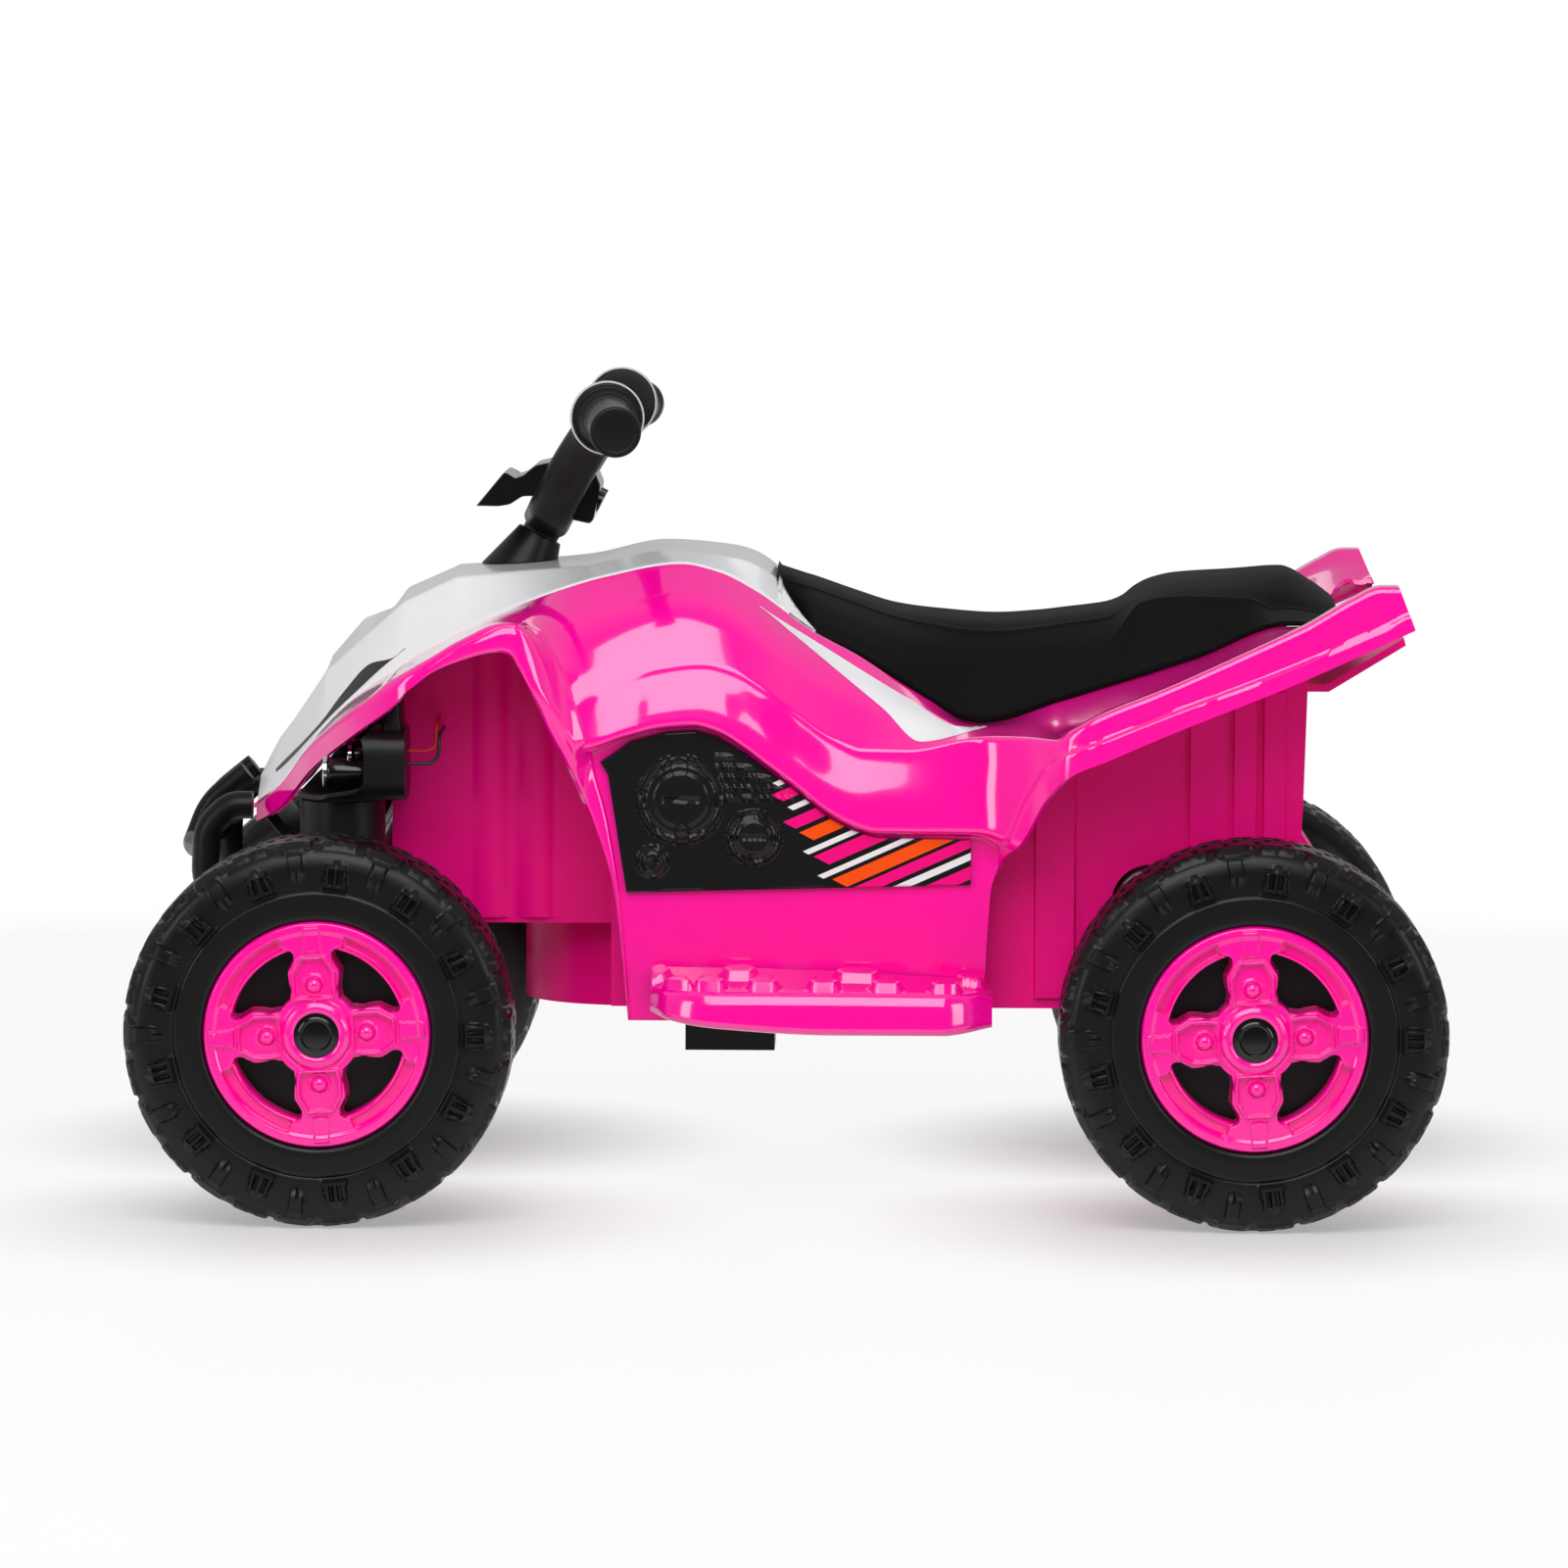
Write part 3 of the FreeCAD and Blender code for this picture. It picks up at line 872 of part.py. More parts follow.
def build_lamps():
    pod = side_prism(drawn_outline(LAMP_POD), across(POD_INNER), across(POD_OUTER))
    bracket = block(place(POD_REAR - 8, 102, 250), place(POD_REAR, 138, 279))
    room = block(place(-290, POD_INNER + 3, 224), place(POD_BACK, POD_OUTER + 10, 270))
    pod = pod.fuse(bracket).removeSplitter().cut(room)
    node("lamp_pod_right", pod)
    node("lamp_pod_left", mirrored(pod))
    bodies, lenses = [], []
    for x, y, z, radius in LAMPS:
        face = place(x, y, z)
        back = along(POD_BACK) - face.x
        stem = cylinder(face, BACK, radius * 0.55, back)
        bowl = Part.makeCone(radius, radius * 0.55, radius * 0.5, face, BACK)
        rim = cylinder(face - BACK * 1.5, BACK, radius, 1.5)
        lens = Part.makeSphere(radius * 1.6, face + BACK * (radius * 1.2))
        lens = lens.common(cylinder(face - BACK * 6, BACK, radius * 0.82, 6))
        body = fuse([stem, bowl, rim]).cut(cylinder(face - BACK * 6, BACK, radius * 0.82, 6))
        bodies += [body, mirrored(body)]
        lenses += [lens, mirrored(lens)]
    node("lamp_bodies", *bodies)
    node("lamp_lenses", *lenses)
    leads = []
    wall = across(TUB_FRONT_HALF_WIDTH)
    for y, z, x, top in LEAD_HEIGHTS.values():
        start = place(POD_REAR, y, z)
        corner = Vector(along(x), start.y, start.z)
        rise = Vector(corner.x, corner.y, above(top))
        lead = tube([start, corner, rise, Vector(corner.x, wall, rise.z)], WIRE_DIAMETER)
        leads += [lead, mirrored(lead)]
    node("lamp_leads", *leads)


SCREW_PLACES = [(-70, 90), (10, 90), (80, 90), (145, 90)]


def build_screws():
    heads = []
    for x, y in SCREW_PLACES:
        for side in (-1, 1):
            foot = place(x, side * y, 109) - UP * SCREW_HEAD
            heads.append(Part.makeCone(SCREW_DIAMETER / 2 - 1, SCREW_DIAMETER / 2, SCREW_HEAD, foot, UP))
    node("body_screws", *heads)


def build_nodes():
    cowl, body = body_shells()
    node("front_cowl", cowl.cut(cylinder(on_column(-80), COLUMN_UP, COLUMN_DIAMETER / 2 + 2, 80)))
    node("upper_body", body)
    node("seat", seat())
    node("chassis_tub", chassis_tub())
    build_wheels()
    build_front_end()
    build_column()
    build_handlebar()
    build_drive()
    build_side_pieces()
    build_nose()
    build_screws()


def main():
    os.makedirs("parts", exist_ok=True)
    build_nodes()
    for name, shape in NODES.items():
        shape.exportStep(f"parts/{name}.step")


main()
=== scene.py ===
"""Looks of a child's ride-on quad bike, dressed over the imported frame.

Metres throughout: +X to the rear, +Y to the rider's right, +Z up, origin on the floor midway between the
axles. Sizes in the classes are written in millimetres and carried to metres by MM.
"""
import logging
import math
from collections.abc import Sequence
from dataclasses import dataclass, field
from enum import Enum

import bpy
import numpy as np
from mathutils import Matrix


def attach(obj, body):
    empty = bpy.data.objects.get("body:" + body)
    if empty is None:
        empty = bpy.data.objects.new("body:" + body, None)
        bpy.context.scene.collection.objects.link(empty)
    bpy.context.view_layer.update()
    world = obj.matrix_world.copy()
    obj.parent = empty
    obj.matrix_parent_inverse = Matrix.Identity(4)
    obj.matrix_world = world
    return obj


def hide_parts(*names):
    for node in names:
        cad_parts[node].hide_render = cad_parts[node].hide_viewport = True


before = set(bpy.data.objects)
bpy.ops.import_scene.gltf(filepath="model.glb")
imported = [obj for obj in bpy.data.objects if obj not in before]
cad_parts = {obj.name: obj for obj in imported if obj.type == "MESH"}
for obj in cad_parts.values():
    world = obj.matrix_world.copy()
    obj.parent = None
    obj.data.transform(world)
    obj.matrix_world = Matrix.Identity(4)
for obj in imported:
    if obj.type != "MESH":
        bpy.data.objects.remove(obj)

MM = 0.001
TINY = 1e-9  # keeps a division by a length from failing
WELD_CELLS = 2e6  # cells per metre; points in one cell become one
ARC_SHARE = 0.45  # largest part of a straight run that a rounding takes
LOG = logging.getLogger("quad_bike")
Array = np.ndarray
Tree = bpy.types.NodeTree
Node = bpy.types.Node
Socket = bpy.types.NodeSocket
Piece = bpy.types.Object
Point3 = tuple[float, float, float]
Span = tuple[float, float]
Rail = tuple[Point3, ...]
Line2 = tuple[Span, ...]


class Side(Enum):
    """The two sides of the bike, as the sign of Y."""

    LEFT = -1
    RIGHT = 1


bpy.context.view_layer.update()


def smooth_line(xs: Array, ys: Array, at: Array) -> Array:
    """Monotone cubic through points: a slope is the harmonic mean of its neighbours, so nothing overshoots.

    Args:
        xs: rising places of the points.
        ys: values of the points.
        at: places to read.

    Returns:
        The values at those places, held level past the ends.
    """
    step = np.diff(xs)
    slope = np.diff(ys) / step
    same = slope[:-1] * slope[1:] > 0
    before = np.where(same, slope[:-1], 1.0)
    after = np.where(same, slope[1:], 1.0)
    w1 = 2 * step[1:] + step[:-1]
    w2 = step[1:] + 2 * step[:-1]
    inner = np.where(same, (w1 + w2) / (w1 / before + w2 / after), 0.0)
    tangent = np.concatenate([slope[:1], inner, slope[-1:]])
    i = np.clip(np.searchsorted(xs, at, side="right") - 1, 0, len(xs) - 2)
    t = np.clip((at - xs[i]) / step[i], 0.0, 1.0)
    rise = ys[i + 1] - ys[i]
    bend = t * (1 - t) * ((1 - t) * (step[i] * tangent[i] - rise) - t * (step[i] * tangent[i + 1] - rise))
    return ys[i] + t * rise + bend


def ease(low: float | Array, high: float | Array, value: Array) -> Array:
    """Smooth step: 0 at low, 1 at high, with level ends; low may lie above high."""
    t = np.clip((value - low) / (high - low), 0.0, 1.0)
    return t * t * (3 - 2 * t)


def curve_of(points: Line2, at: Array) -> Array:
    """A given (place, value) line in millimetres, read smoothly in metres."""
    data = np.array(points, float) * MM
    return smooth_line(data[:, 0], data[:, 1], at)


def rounded_rows(corners: Array, radii: Sequence[float | Array], arc: int, run: Sequence[int]) -> Array:
    """Rounded sections: straight runs joined by quadratic arcs that start a radius away from each corner.

    Args:
        corners: (stations, corners, 2) section corners in metres.
        radii: reach of the rounding at each inner corner in millimetres, one number or one per station.
        arc: steps in each rounding.
        run: inner points on each straight run.

    Returns:
        (stations, rows, 2) section points, with the same rows at every station.
    """
    leg = np.diff(corners, axis=1)
    length = np.linalg.norm(leg, axis=2)
    way = leg / np.maximum(length, TINY)[..., None]
    rows = [corners[:, 0]]
    last = corners[:, 0]
    for k in range(1, corners.shape[1] - 1):
        longest = ARC_SHARE * np.minimum(length[:, k - 1], length[:, k])
        reach = np.minimum(np.asarray(radii[k - 1]) * MM, longest)[:, None]
        first = corners[:, k] - way[:, k - 1] * reach
        final = corners[:, k] + way[:, k] * reach
        rows += [last + (first - last) * t for t in np.linspace(0, 1, run[k - 1] + 2)[1:-1]]
        turn = np.linspace(0, 1, arc + 1)
        rows += [first * (1 - t) ** 2 + corners[:, k] * 2 * t * (1 - t) + final * t ** 2 for t in turn]
        last = final
    rows += [last + (corners[:, -1] - last) * t for t in np.linspace(0, 1, run[-1] + 2)[1:]]
    return np.stack(rows, axis=1)


def grid_normals(points: Array) -> Array:
    """Unit normals of a grid from the cross product of its two tangents."""
    normal = np.cross(np.gradient(points, axis=0), np.gradient(points, axis=1))
    return normal / np.maximum(np.linalg.norm(normal, axis=2, keepdims=True), 1e-12)


def along_bike(x: Array, rows: Array) -> Array:
    """Sections of (y, z) points set at their stations: (stations, rows, 2) to (stations, rows, 3)."""
    return np.concatenate([np.broadcast_to(x[:, None, None], (*rows.shape[:2], 1)), rows], axis=2)


def full_turn(steps: int) -> Array:
    """Even angles round a circle, the last one short of the first."""
    return np.linspace(0, 2 * math.pi, steps, endpoint=False)


def squared_circle(steps: int, power: float) -> Array:
    """A unit circle drawn out to a square: its cosine and sine raised to a power, their signs kept."""
    circle = np.stack([np.cos(full_turn(steps)), np.sin(full_turn(steps))], axis=1)
    return np.sign(circle) * np.abs(circle) ** power


@dataclass
class Skin:
    """Gathers grids of points and makes one welded mesh object of them.

    Attributes:
        name: the object's name.
    """

    name: str
    points: list[Array] = field(default_factory=list)
    quads: list[Array] = field(default_factory=list)
    count: int = 0

    def grid(self, points: Array, flip: bool = False, wrap: bool = False, keep: Array | None = None) -> None:
        """Adds a grid of points as quads.

        Args:
            points: (rows, columns, 3) points.
            flip: turns the faces round.
            wrap: joins the last column to the first.
            keep: (rows - 1, columns - 1) mask of the quads that stay.
        """
        rows, columns = points.shape[:2]
        index = np.arange(rows * columns).reshape(rows, columns) + self.count
        if wrap:
            index = np.hstack([index, index[:, :1]])
        quads = np.stack([index[:-1, :-1], index[1:, :-1], index[1:, 1:], index[:-1, 1:]], -1).reshape(-1, 4)
        if keep is not None:
            quads = quads[keep.reshape(-1)]
        self.points.append(points.reshape(-1, 3))
        self.quads.append(quads[:, ::-1] if flip else quads)
        self.count += rows * columns

    def mirror(self) -> None:
        """Adds the same faces on the other side of the bike."""
        points = np.concatenate(self.points)
        quads = np.concatenate(self.quads)
        self.points.append(points * np.array([1.0, -1.0, 1.0]))
        self.quads.append(quads[:, ::-1] + self.count)
        self.count += len(points)

    def build(self, sharp_deg: float = 38.0) -> Piece:
        """Welds equal points, drops flat faces and makes the object.

        Args:
            sharp_deg: edges that turn by more than this stay sharp.

        Returns:
            The new object, at the origin.
        """
        points = np.concatenate(self.points)
        quads = np.concatenate(self.quads)
        cells = np.round(points * WELD_CELLS).astype(np.int64)
        _, first, back = np.unique(cells, axis=0, return_index=True, return_inverse=True)
        quads = back.reshape(-1)[quads]
        points = points[first]
        differs = quads != np.roll(quads, -1, axis=1)
        crossed = (quads[:, 0] == quads[:, 2]) | (quads[:, 1] == quads[:, 3])
        whole = quads[differs.all(axis=1) & ~crossed]
        three = (differs.sum(axis=1) == 3) & ~crossed
        triangles = quads[three][differs[three]].reshape(-1, 3)
        mesh = bpy.data.meshes.new(self.name)
        mesh.from_pydata(points.tolist(), [], whole.tolist() + triangles.tolist())
        mesh.polygons.foreach_set("use_smooth", np.ones(len(mesh.polygons), bool))
        mesh.set_sharp_from_angle(angle=math.radians(sharp_deg))
        mesh.update()
        obj = bpy.data.objects.new(self.name, mesh)
        bpy.context.scene.collection.objects.link(obj)
        return obj


def sweep(path: Array, sizes: Array, square: float, steps: int, up: Point3) -> Array:
    """A closed profile carried along a path: a superellipse in the plane across the path at each point.

    Args:
        path: (n, 3) points of the path.
        sizes: (n, 2) half sizes of the profile, across and along `up`.
        square: exponent of the superellipse, 2 for an ellipse and more for a squarer bar.
        steps: points around.
        up: direction that the profile's second size follows.

    Returns:
        (n, steps, 3) points.
    """
    along = np.gradient(path, axis=0)
    along /= np.linalg.norm(along, axis=1, keepdims=True)
    across = np.cross(along, np.array(up))
    across /= np.linalg.norm(across, axis=1, keepdims=True)
    over = np.cross(across, along)
    u, v = squared_circle(steps, 2 / square).T
    return (path[:, None] + across[:, None] * (sizes[:, None, :1] * u[None, :, None])
            + over[:, None] * (sizes[:, None, 1:] * v[None, :, None]))


def capped(rings: Array) -> Array:
    """Closes both ends of a tube of rings with their middle points.

    Args:
        rings: (n, steps, 3) points.

    Returns:
        (n + 2, steps, 3) points.
    """
    first = np.broadcast_to(rings[0].mean(axis=0), rings[0].shape)
    last = np.broadcast_to(rings[-1].mean(axis=0), rings[-1].shape)
    return np.concatenate([first[None], rings, last[None]])


def spline_path(points: Sequence[Point3], steps: int) -> Array:
    """A smooth path through points: cubic in each coordinate over the running chord length.

    Args:
        points: places in millimetres.
        steps: points of the path.

    Returns:
        (steps, 3) points in metres, evenly spaced by chord length.
    """
    data = np.array(points, float) * MM
    chord = np.concatenate([[0.0], np.cumsum(np.linalg.norm(np.diff(data, axis=0), axis=1))])
    at = np.linspace(0, chord[-1], steps)
    return np.stack([smooth_line(chord, data[:, k], at) for k in range(3)], axis=1)


FINE_GRAIN = 2.3  # fine grain per grain cell
GRAIN_STRENGTH = 0.6
COAT_ROUGHNESS = 0.05
GLOSS_SCALE = 35.0  # patches per metre of the wandering gloss
DRIFT_SCALE = 14.0  # patches per metre of the wandering colour
FILM_DRIFT_SCALE = 60.0


def new_group(name: str, inputs: dict[str, str], output: str, kind: str) -> tuple[Tree, Node, Node]:
    """An empty shader node group.

    Args:
        name: the group's name.
        inputs: socket names and their types.
        output: name of the one output.
        kind: the output's type.

    Returns:
        The tree, its input node and its output node.
    """
    tree = bpy.data.node_groups.new(name, "ShaderNodeTree")
    for label, sort in inputs.items():
        tree.interface.new_socket(label, in_out="INPUT", socket_type=sort)
    tree.interface.new_socket(output, in_out="OUTPUT", socket_type=kind)
    return tree, tree.nodes.new("NodeGroupInput"), tree.nodes.new("NodeGroupOutput")


def noise_in(tree: Tree, scale: Socket, detail: float) -> Socket:
    """Noise on Object coordinates.

    Args:
        tree: the nodes it joins.
        scale: socket with the noise's scale.
        detail: octaves.

    Returns:
        The noise's value socket.
    """
    place = tree.nodes.new("ShaderNodeTexCoord")
    noise = tree.nodes.new("ShaderNodeTexNoise")
    noise.inputs["Detail"].default_value = detail
    tree.links.new(place.outputs["Object"], noise.inputs["Vector"])
    tree.links.new(scale, noise.inputs["Scale"])
    return noise.outputs["Fac"]


def math_in(tree: Tree, what: str, *values: Socket | float) -> Socket:
    """One Math node.

    Args:
        tree: the nodes it joins.
        what: the operation.
        values: its inputs, each a socket or a number.

    Returns:
        The result's socket.
    """
    node = tree.nodes.new("ShaderNodeMath")
    node.operation = what
    for place, value in zip(node.inputs, values):
        if isinstance(value, (int, float)):
            place.default_value = value
        else:
            tree.links.new(value, place)
    return node.outputs[0]


def mix_in(tree: Tree, factor: Socket, first: Socket | Point3, second: Socket | Point3) -> Socket:
    """Mixes two colours by a mask.

    Args:
        tree: the nodes it joins.
        factor: socket with the mask, 0 for the first colour.
        first: a colour socket or three numbers.
        second: the other colour.

    Returns:
        The mixed colour's socket.
    """
    node = tree.nodes.new("ShaderNodeMix")
    node.data_type = "RGBA"
    tree.links.new(factor, node.inputs[0])
    for place, value in ((node.inputs[6], first), (node.inputs[7], second)):
        if isinstance(value, tuple):
            place.default_value = (*value, 1.0)
        else:
            tree.links.new(value, place)
    return node.outputs[2]


def drift_group() -> Tree:
    """Slow change of depth over a moulding: the colour times one plus or minus a share of noise.

    Returns:
        The group, made once.
    """
    if "colour_drift" in bpy.data.node_groups:
        return bpy.data.node_groups["colour_drift"]
    sockets = {"Colour": "NodeSocketColor", "Depth": "NodeSocketFloat", "Scale": "NodeSocketFloat"}
    tree, start, end = new_group("colour_drift", sockets, "Colour", "NodeSocketColor")
    noise = noise_in(tree, start.outputs["Scale"], 4.0)
    share = math_in(tree, "MULTIPLY_ADD", math_in(tree, "SUBTRACT", noise, 0.5), start.outputs["Depth"], 1.0)
    scale = tree.nodes.new("ShaderNodeVectorMath")
    scale.operation = "SCALE"
    tree.links.new(start.outputs["Colour"], scale.inputs[0])
    tree.links.new(share, scale.inputs["Scale"])
    tree.links.new(scale.outputs[0], end.inputs["Colour"])
    return tree


def gloss_group() -> Tree:
    """Roughness that wanders about its middle value, as on handled plastic.

    Returns:
        The group, made once.
    """
    if "gloss_drift" in bpy.data.node_groups:
        return bpy.data.node_groups["gloss_drift"]
    sockets = {"Middle": "NodeSocketFloat", "Spread": "NodeSocketFloat", "Scale": "NodeSocketFloat"}
    tree, start, end = new_group("gloss_drift", sockets, "Roughness", "NodeSocketFloat")
    noise = noise_in(tree, start.outputs["Scale"], 6.0)
    offset = math_in(tree, "SUBTRACT", noise, 0.5)
    value = math_in(tree, "MULTIPLY_ADD", offset, start.outputs["Spread"], start.outputs["Middle"])
    tree.links.new(value, end.inputs["Roughness"])
    return tree


def grain_group() -> Tree:
    """Moulded leather-like grain: cells and fine noise as a bump.

    Returns:
        The group, made once.
    """
    if "moulded_grain" in bpy.data.node_groups:
        return bpy.data.node_groups["moulded_grain"]
    sockets = {"Scale": "NodeSocketFloat", "Depth": "NodeSocketFloat"}
    tree, start, end = new_group("moulded_grain", sockets, "Normal", "NodeSocketVector")
    place = tree.nodes.new("ShaderNodeTexCoord")
    cells = tree.nodes.new("ShaderNodeTexVoronoi")
    tree.links.new(place.outputs["Object"], cells.inputs["Vector"])
    tree.links.new(start.outputs["Scale"], cells.inputs["Scale"])
    noise = noise_in(tree, math_in(tree, "MULTIPLY", start.outputs["Scale"], FINE_GRAIN), 3.0)
    height = math_in(tree, "ADD", cells.outputs["Distance"], noise)
    bump = tree.nodes.new("ShaderNodeBump")
    bump.inputs["Strength"].default_value = GRAIN_STRENGTH
    tree.links.new(height, bump.inputs["Height"])
    tree.links.new(start.outputs["Depth"], bump.inputs["Distance"])
    tree.links.new(bump.outputs["Normal"], end.inputs["Normal"])
    return tree


@dataclass(frozen=True)
class Finish:
    """A moulded, painted or metal finish.

    Attributes:
        name: the material's name.
        slot: the record's slot that it belongs to.
        colour: linear colour.
        roughness: middle roughness.
        spread: how far the roughness wanders.
        metallic: 1 for bare metal.
        coat: weight of the gloss skin.
        drift: how far the colour wanders, as a share.
        grain: depth of the moulded grain in millimetres, 0 for none.
        grain_scale: grain cells per metre.
        specular: strength of the surface reflection, 0.5 for common plastic.
        clear: 1 for a clear moulding.
    """

    name: str
    slot: str
    colour: Point3
    roughness: float
    spread: float = 0.06
    metallic: float = 0.0
    coat: float = 0.0
    drift: float = 0.08
    grain: float = 0.0
    grain_scale: float = 900.0
    specular: float = 0.5
    clear: float = 0.0

    def material(self) -> bpy.types.Material:
        """The finish as a node material.

        Returns:
            The material, made once.
        """
        if self.name in bpy.data.materials:
            return bpy.data.materials[self.name]
        made = bpy.data.materials.new(self.name)
        made.use_nodes = True
        tree = made.node_tree
        shader = tree.nodes["Principled BSDF"]
        shader.inputs["Metallic"].default_value = self.metallic
        shader.inputs["Specular IOR Level"].default_value = self.specular
        shader.inputs["Transmission Weight"].default_value = self.clear
        shader.inputs["Coat Weight"].default_value = self.coat
        shader.inputs["Coat Roughness"].default_value = COAT_ROUGHNESS
        self.paint(tree, shader)
        gloss = self.group(tree, gloss_group(), Middle=self.roughness, Spread=self.spread, Scale=GLOSS_SCALE)
        tree.links.new(gloss.outputs[0], shader.inputs["Roughness"])
        if self.grain:
            grain = self.group(tree, grain_group(), Scale=self.grain_scale, Depth=self.grain * MM)
            tree.links.new(grain.outputs[0], shader.inputs["Normal"])
        return made

    def paint(self, tree: Tree, shader: Node) -> None:
        """Links the wandering colour to the shader.

        Args:
            tree: the material's nodes.
            shader: its Principled BSDF.
        """
        drift = self.group(tree, drift_group(), Depth=self.drift, Scale=DRIFT_SCALE)
        drift.inputs["Colour"].default_value = (*self.colour, 1.0)
        tree.links.new(drift.outputs[0], shader.inputs["Base Color"])

    @staticmethod
    def group(tree: Tree, group: Tree, **values: float) -> Node:
        """Places a node group and sets its sockets.

        Args:
            tree: the material's nodes.
            group: the group to place.
            values: socket names and numbers.

        Returns:
            The group's node.
        """
        node = tree.nodes.new("ShaderNodeGroup")
        node.node_tree = group
        for label, value in values.items():
            node.inputs[label].default_value = value
        return node

    def dress(self, *pieces: Piece) -> None:
        """Gives this finish to pieces.

        Args:
            pieces: objects that lose the materials they had.
        """
        for piece in pieces:
            piece.data.materials.clear()
            piece.data.materials.append(self.material())


@dataclass(frozen=True)
class Bar:
    """One slanted bar of a print: its middle across, half width, start and end along, and colour."""

    middle: float
    half: float
    start: float
    end: float
    colour: Point3


@dataclass(frozen=True)
class BarPrint(Finish):
    """A gloss film printed with slanted bars, measured in millimetres in the side view.

    Attributes:
        bars: the bars, painted in order.
        turn_deg: slant of the bars from level.
        end_slant: how far a bar's ends lean, as a share of its width.
    """

    bars: tuple[Bar, ...] = ()
    turn_deg: float = 0.0
    end_slant: float = 0.8

    def paint(self, tree: Tree, shader: Node) -> None:
        """Paints each bar where both its across and along places fit.

        Args:
            tree: the material's nodes.
            shader: its Principled BSDF.
        """
        place = tree.nodes.new("ShaderNodeTexCoord")
        split = tree.nodes.new("ShaderNodeSeparateXYZ")
        tree.links.new(place.outputs["Object"], split.inputs[0])
        x, z = split.outputs["X"], split.outputs["Z"]
        c, s = math.cos(math.radians(self.turn_deg)), math.sin(math.radians(self.turn_deg))
        along = math_in(tree, "MULTIPLY_ADD", z, s, math_in(tree, "MULTIPLY", x, c))
        over = math_in(tree, "MULTIPLY_ADD", z, c, math_in(tree, "MULTIPLY", x, -s))
        base = self.group(tree, drift_group(), Depth=self.drift, Scale=FILM_DRIFT_SCALE)
        base.inputs["Colour"].default_value = (*self.colour, 1.0)
        paint = base.outputs[0]
        for bar in self.bars:
            across = math_in(tree, "COMPARE", over, bar.middle * MM, bar.half * MM)
            middle, half = (bar.start + bar.end) / 2, (bar.end - bar.start) / 2
            slant = math_in(tree, "MULTIPLY_ADD", over, self.end_slant, along)
            reach = math_in(tree, "COMPARE", slant, (middle + self.end_slant * bar.middle) * MM, half * MM)
            paint = mix_in(tree, math_in(tree, "MULTIPLY", across, reach), paint, bar.colour)
        tree.links.new(paint, shader.inputs["Base Color"])


PINK = Finish("gloss_pink", "body_pink", (0.97, 0.0004, 0.33), 0.14, 0.04, coat=1.0, drift=0.05)
TUB_PINK = Finish("satin_pink", "tub_pink", (0.85, 0.0006, 0.22), 0.34, specular=0.2)
WHITE = Finish("gloss_white", "cowl_white", (0.83, 0.83, 0.85), 0.18, 0.04, coat=0.3, drift=0.03,
               specular=0.4)
SEAT_BLACK = Finish("grained_black", "seat_black", (0.0045, 0.0045, 0.0048), 0.62, 0.1, grain=0.25,
                    grain_scale=620.0, specular=0.08)
BLACK = Finish("satin_black", "black_plastic", (0.005, 0.005, 0.0055), 0.36, 0.1, grain=0.03,
               grain_scale=1500.0, specular=0.25)
GLOSS_BLACK = Finish("shiny_black", "black_gloss", (0.005, 0.005, 0.0055), 0.14, 0.05, coat=0.3, specular=0.4)
TYRE_BLACK = Finish("tyre_moulding", "tyre_black", (0.004, 0.004, 0.0044), 0.33, 0.1, grain=0.03,
                    grain_scale=1300.0, specular=0.3)
LENS = Finish("clear_lens", "lens_clear", (0.90, 0.91, 0.92), 0.06, 0.04, drift=0.02, clear=1.0)
CHROME = Finish("bright_chrome", "lamp_chrome", (0.78, 0.79, 0.80), 0.10, 0.05, metallic=1.0)
DARK_STEEL = Finish("painted_steel", "steel", (0.010, 0.010, 0.011), 0.38, 0.1, specular=0.3)
STEEL = Finish("zinc_steel", "steel", (0.55, 0.56, 0.57), 0.34, 0.12, metallic=1.0)
MOTOR_GREY = Finish("motor_can", "motor_grey", (0.40, 0.40, 0.41), 0.42, 0.12, metallic=0.3)
NYLON = Finish("gear_nylon", "nylon", (0.72, 0.70, 0.62), 0.45)
LEAD_RED = Finish("red_lead", "lead_red", (0.55, 0.008, 0.008), 0.42)
LEAD_BLACK = Finish("black_lead", "black_plastic", (0.012, 0.012, 0.012), 0.42)
RING_GREY = Finish("pale_ring", "black_gloss", (0.55, 0.55, 0.56), 0.3)
PRINT_PINK, PRINT_WHITE, PRINT_ORANGE = (0.80, 0.003, 0.20), (0.74, 0.74, 0.75), (0.85, 0.08, 0.006)
PANEL = BarPrint(
    "barred_film", "panel_print", (0.009, 0.009, 0.0095), 0.16, 0.04, coat=0.12, specular=0.2, turn_deg=24.0,
    bars=(Bar(214, 1.4, 88, 112, PRINT_WHITE), Bar(207, 2.8, 86, 118, PRINT_PINK),
          Bar(199, 1.4, 90, 122, PRINT_WHITE), Bar(191, 3.0, 86, 130, PRINT_PINK),
          Bar(182, 3.4, 92, 140, PRINT_ORANGE), Bar(174, 1.4, 88, 134, PRINT_WHITE),
          Bar(167, 3.6, 94, 150, PRINT_PINK), Bar(159, 1.4, 90, 170, PRINT_WHITE),
          Bar(152, 3.4, 98, 190, PRINT_ORANGE), Bar(144, 2.8, 104, 200, PRINT_PINK),
          Bar(137, 1.8, 116, 210, PRINT_WHITE), Bar(129, 3.2, 126, 210, PRINT_PINK)))


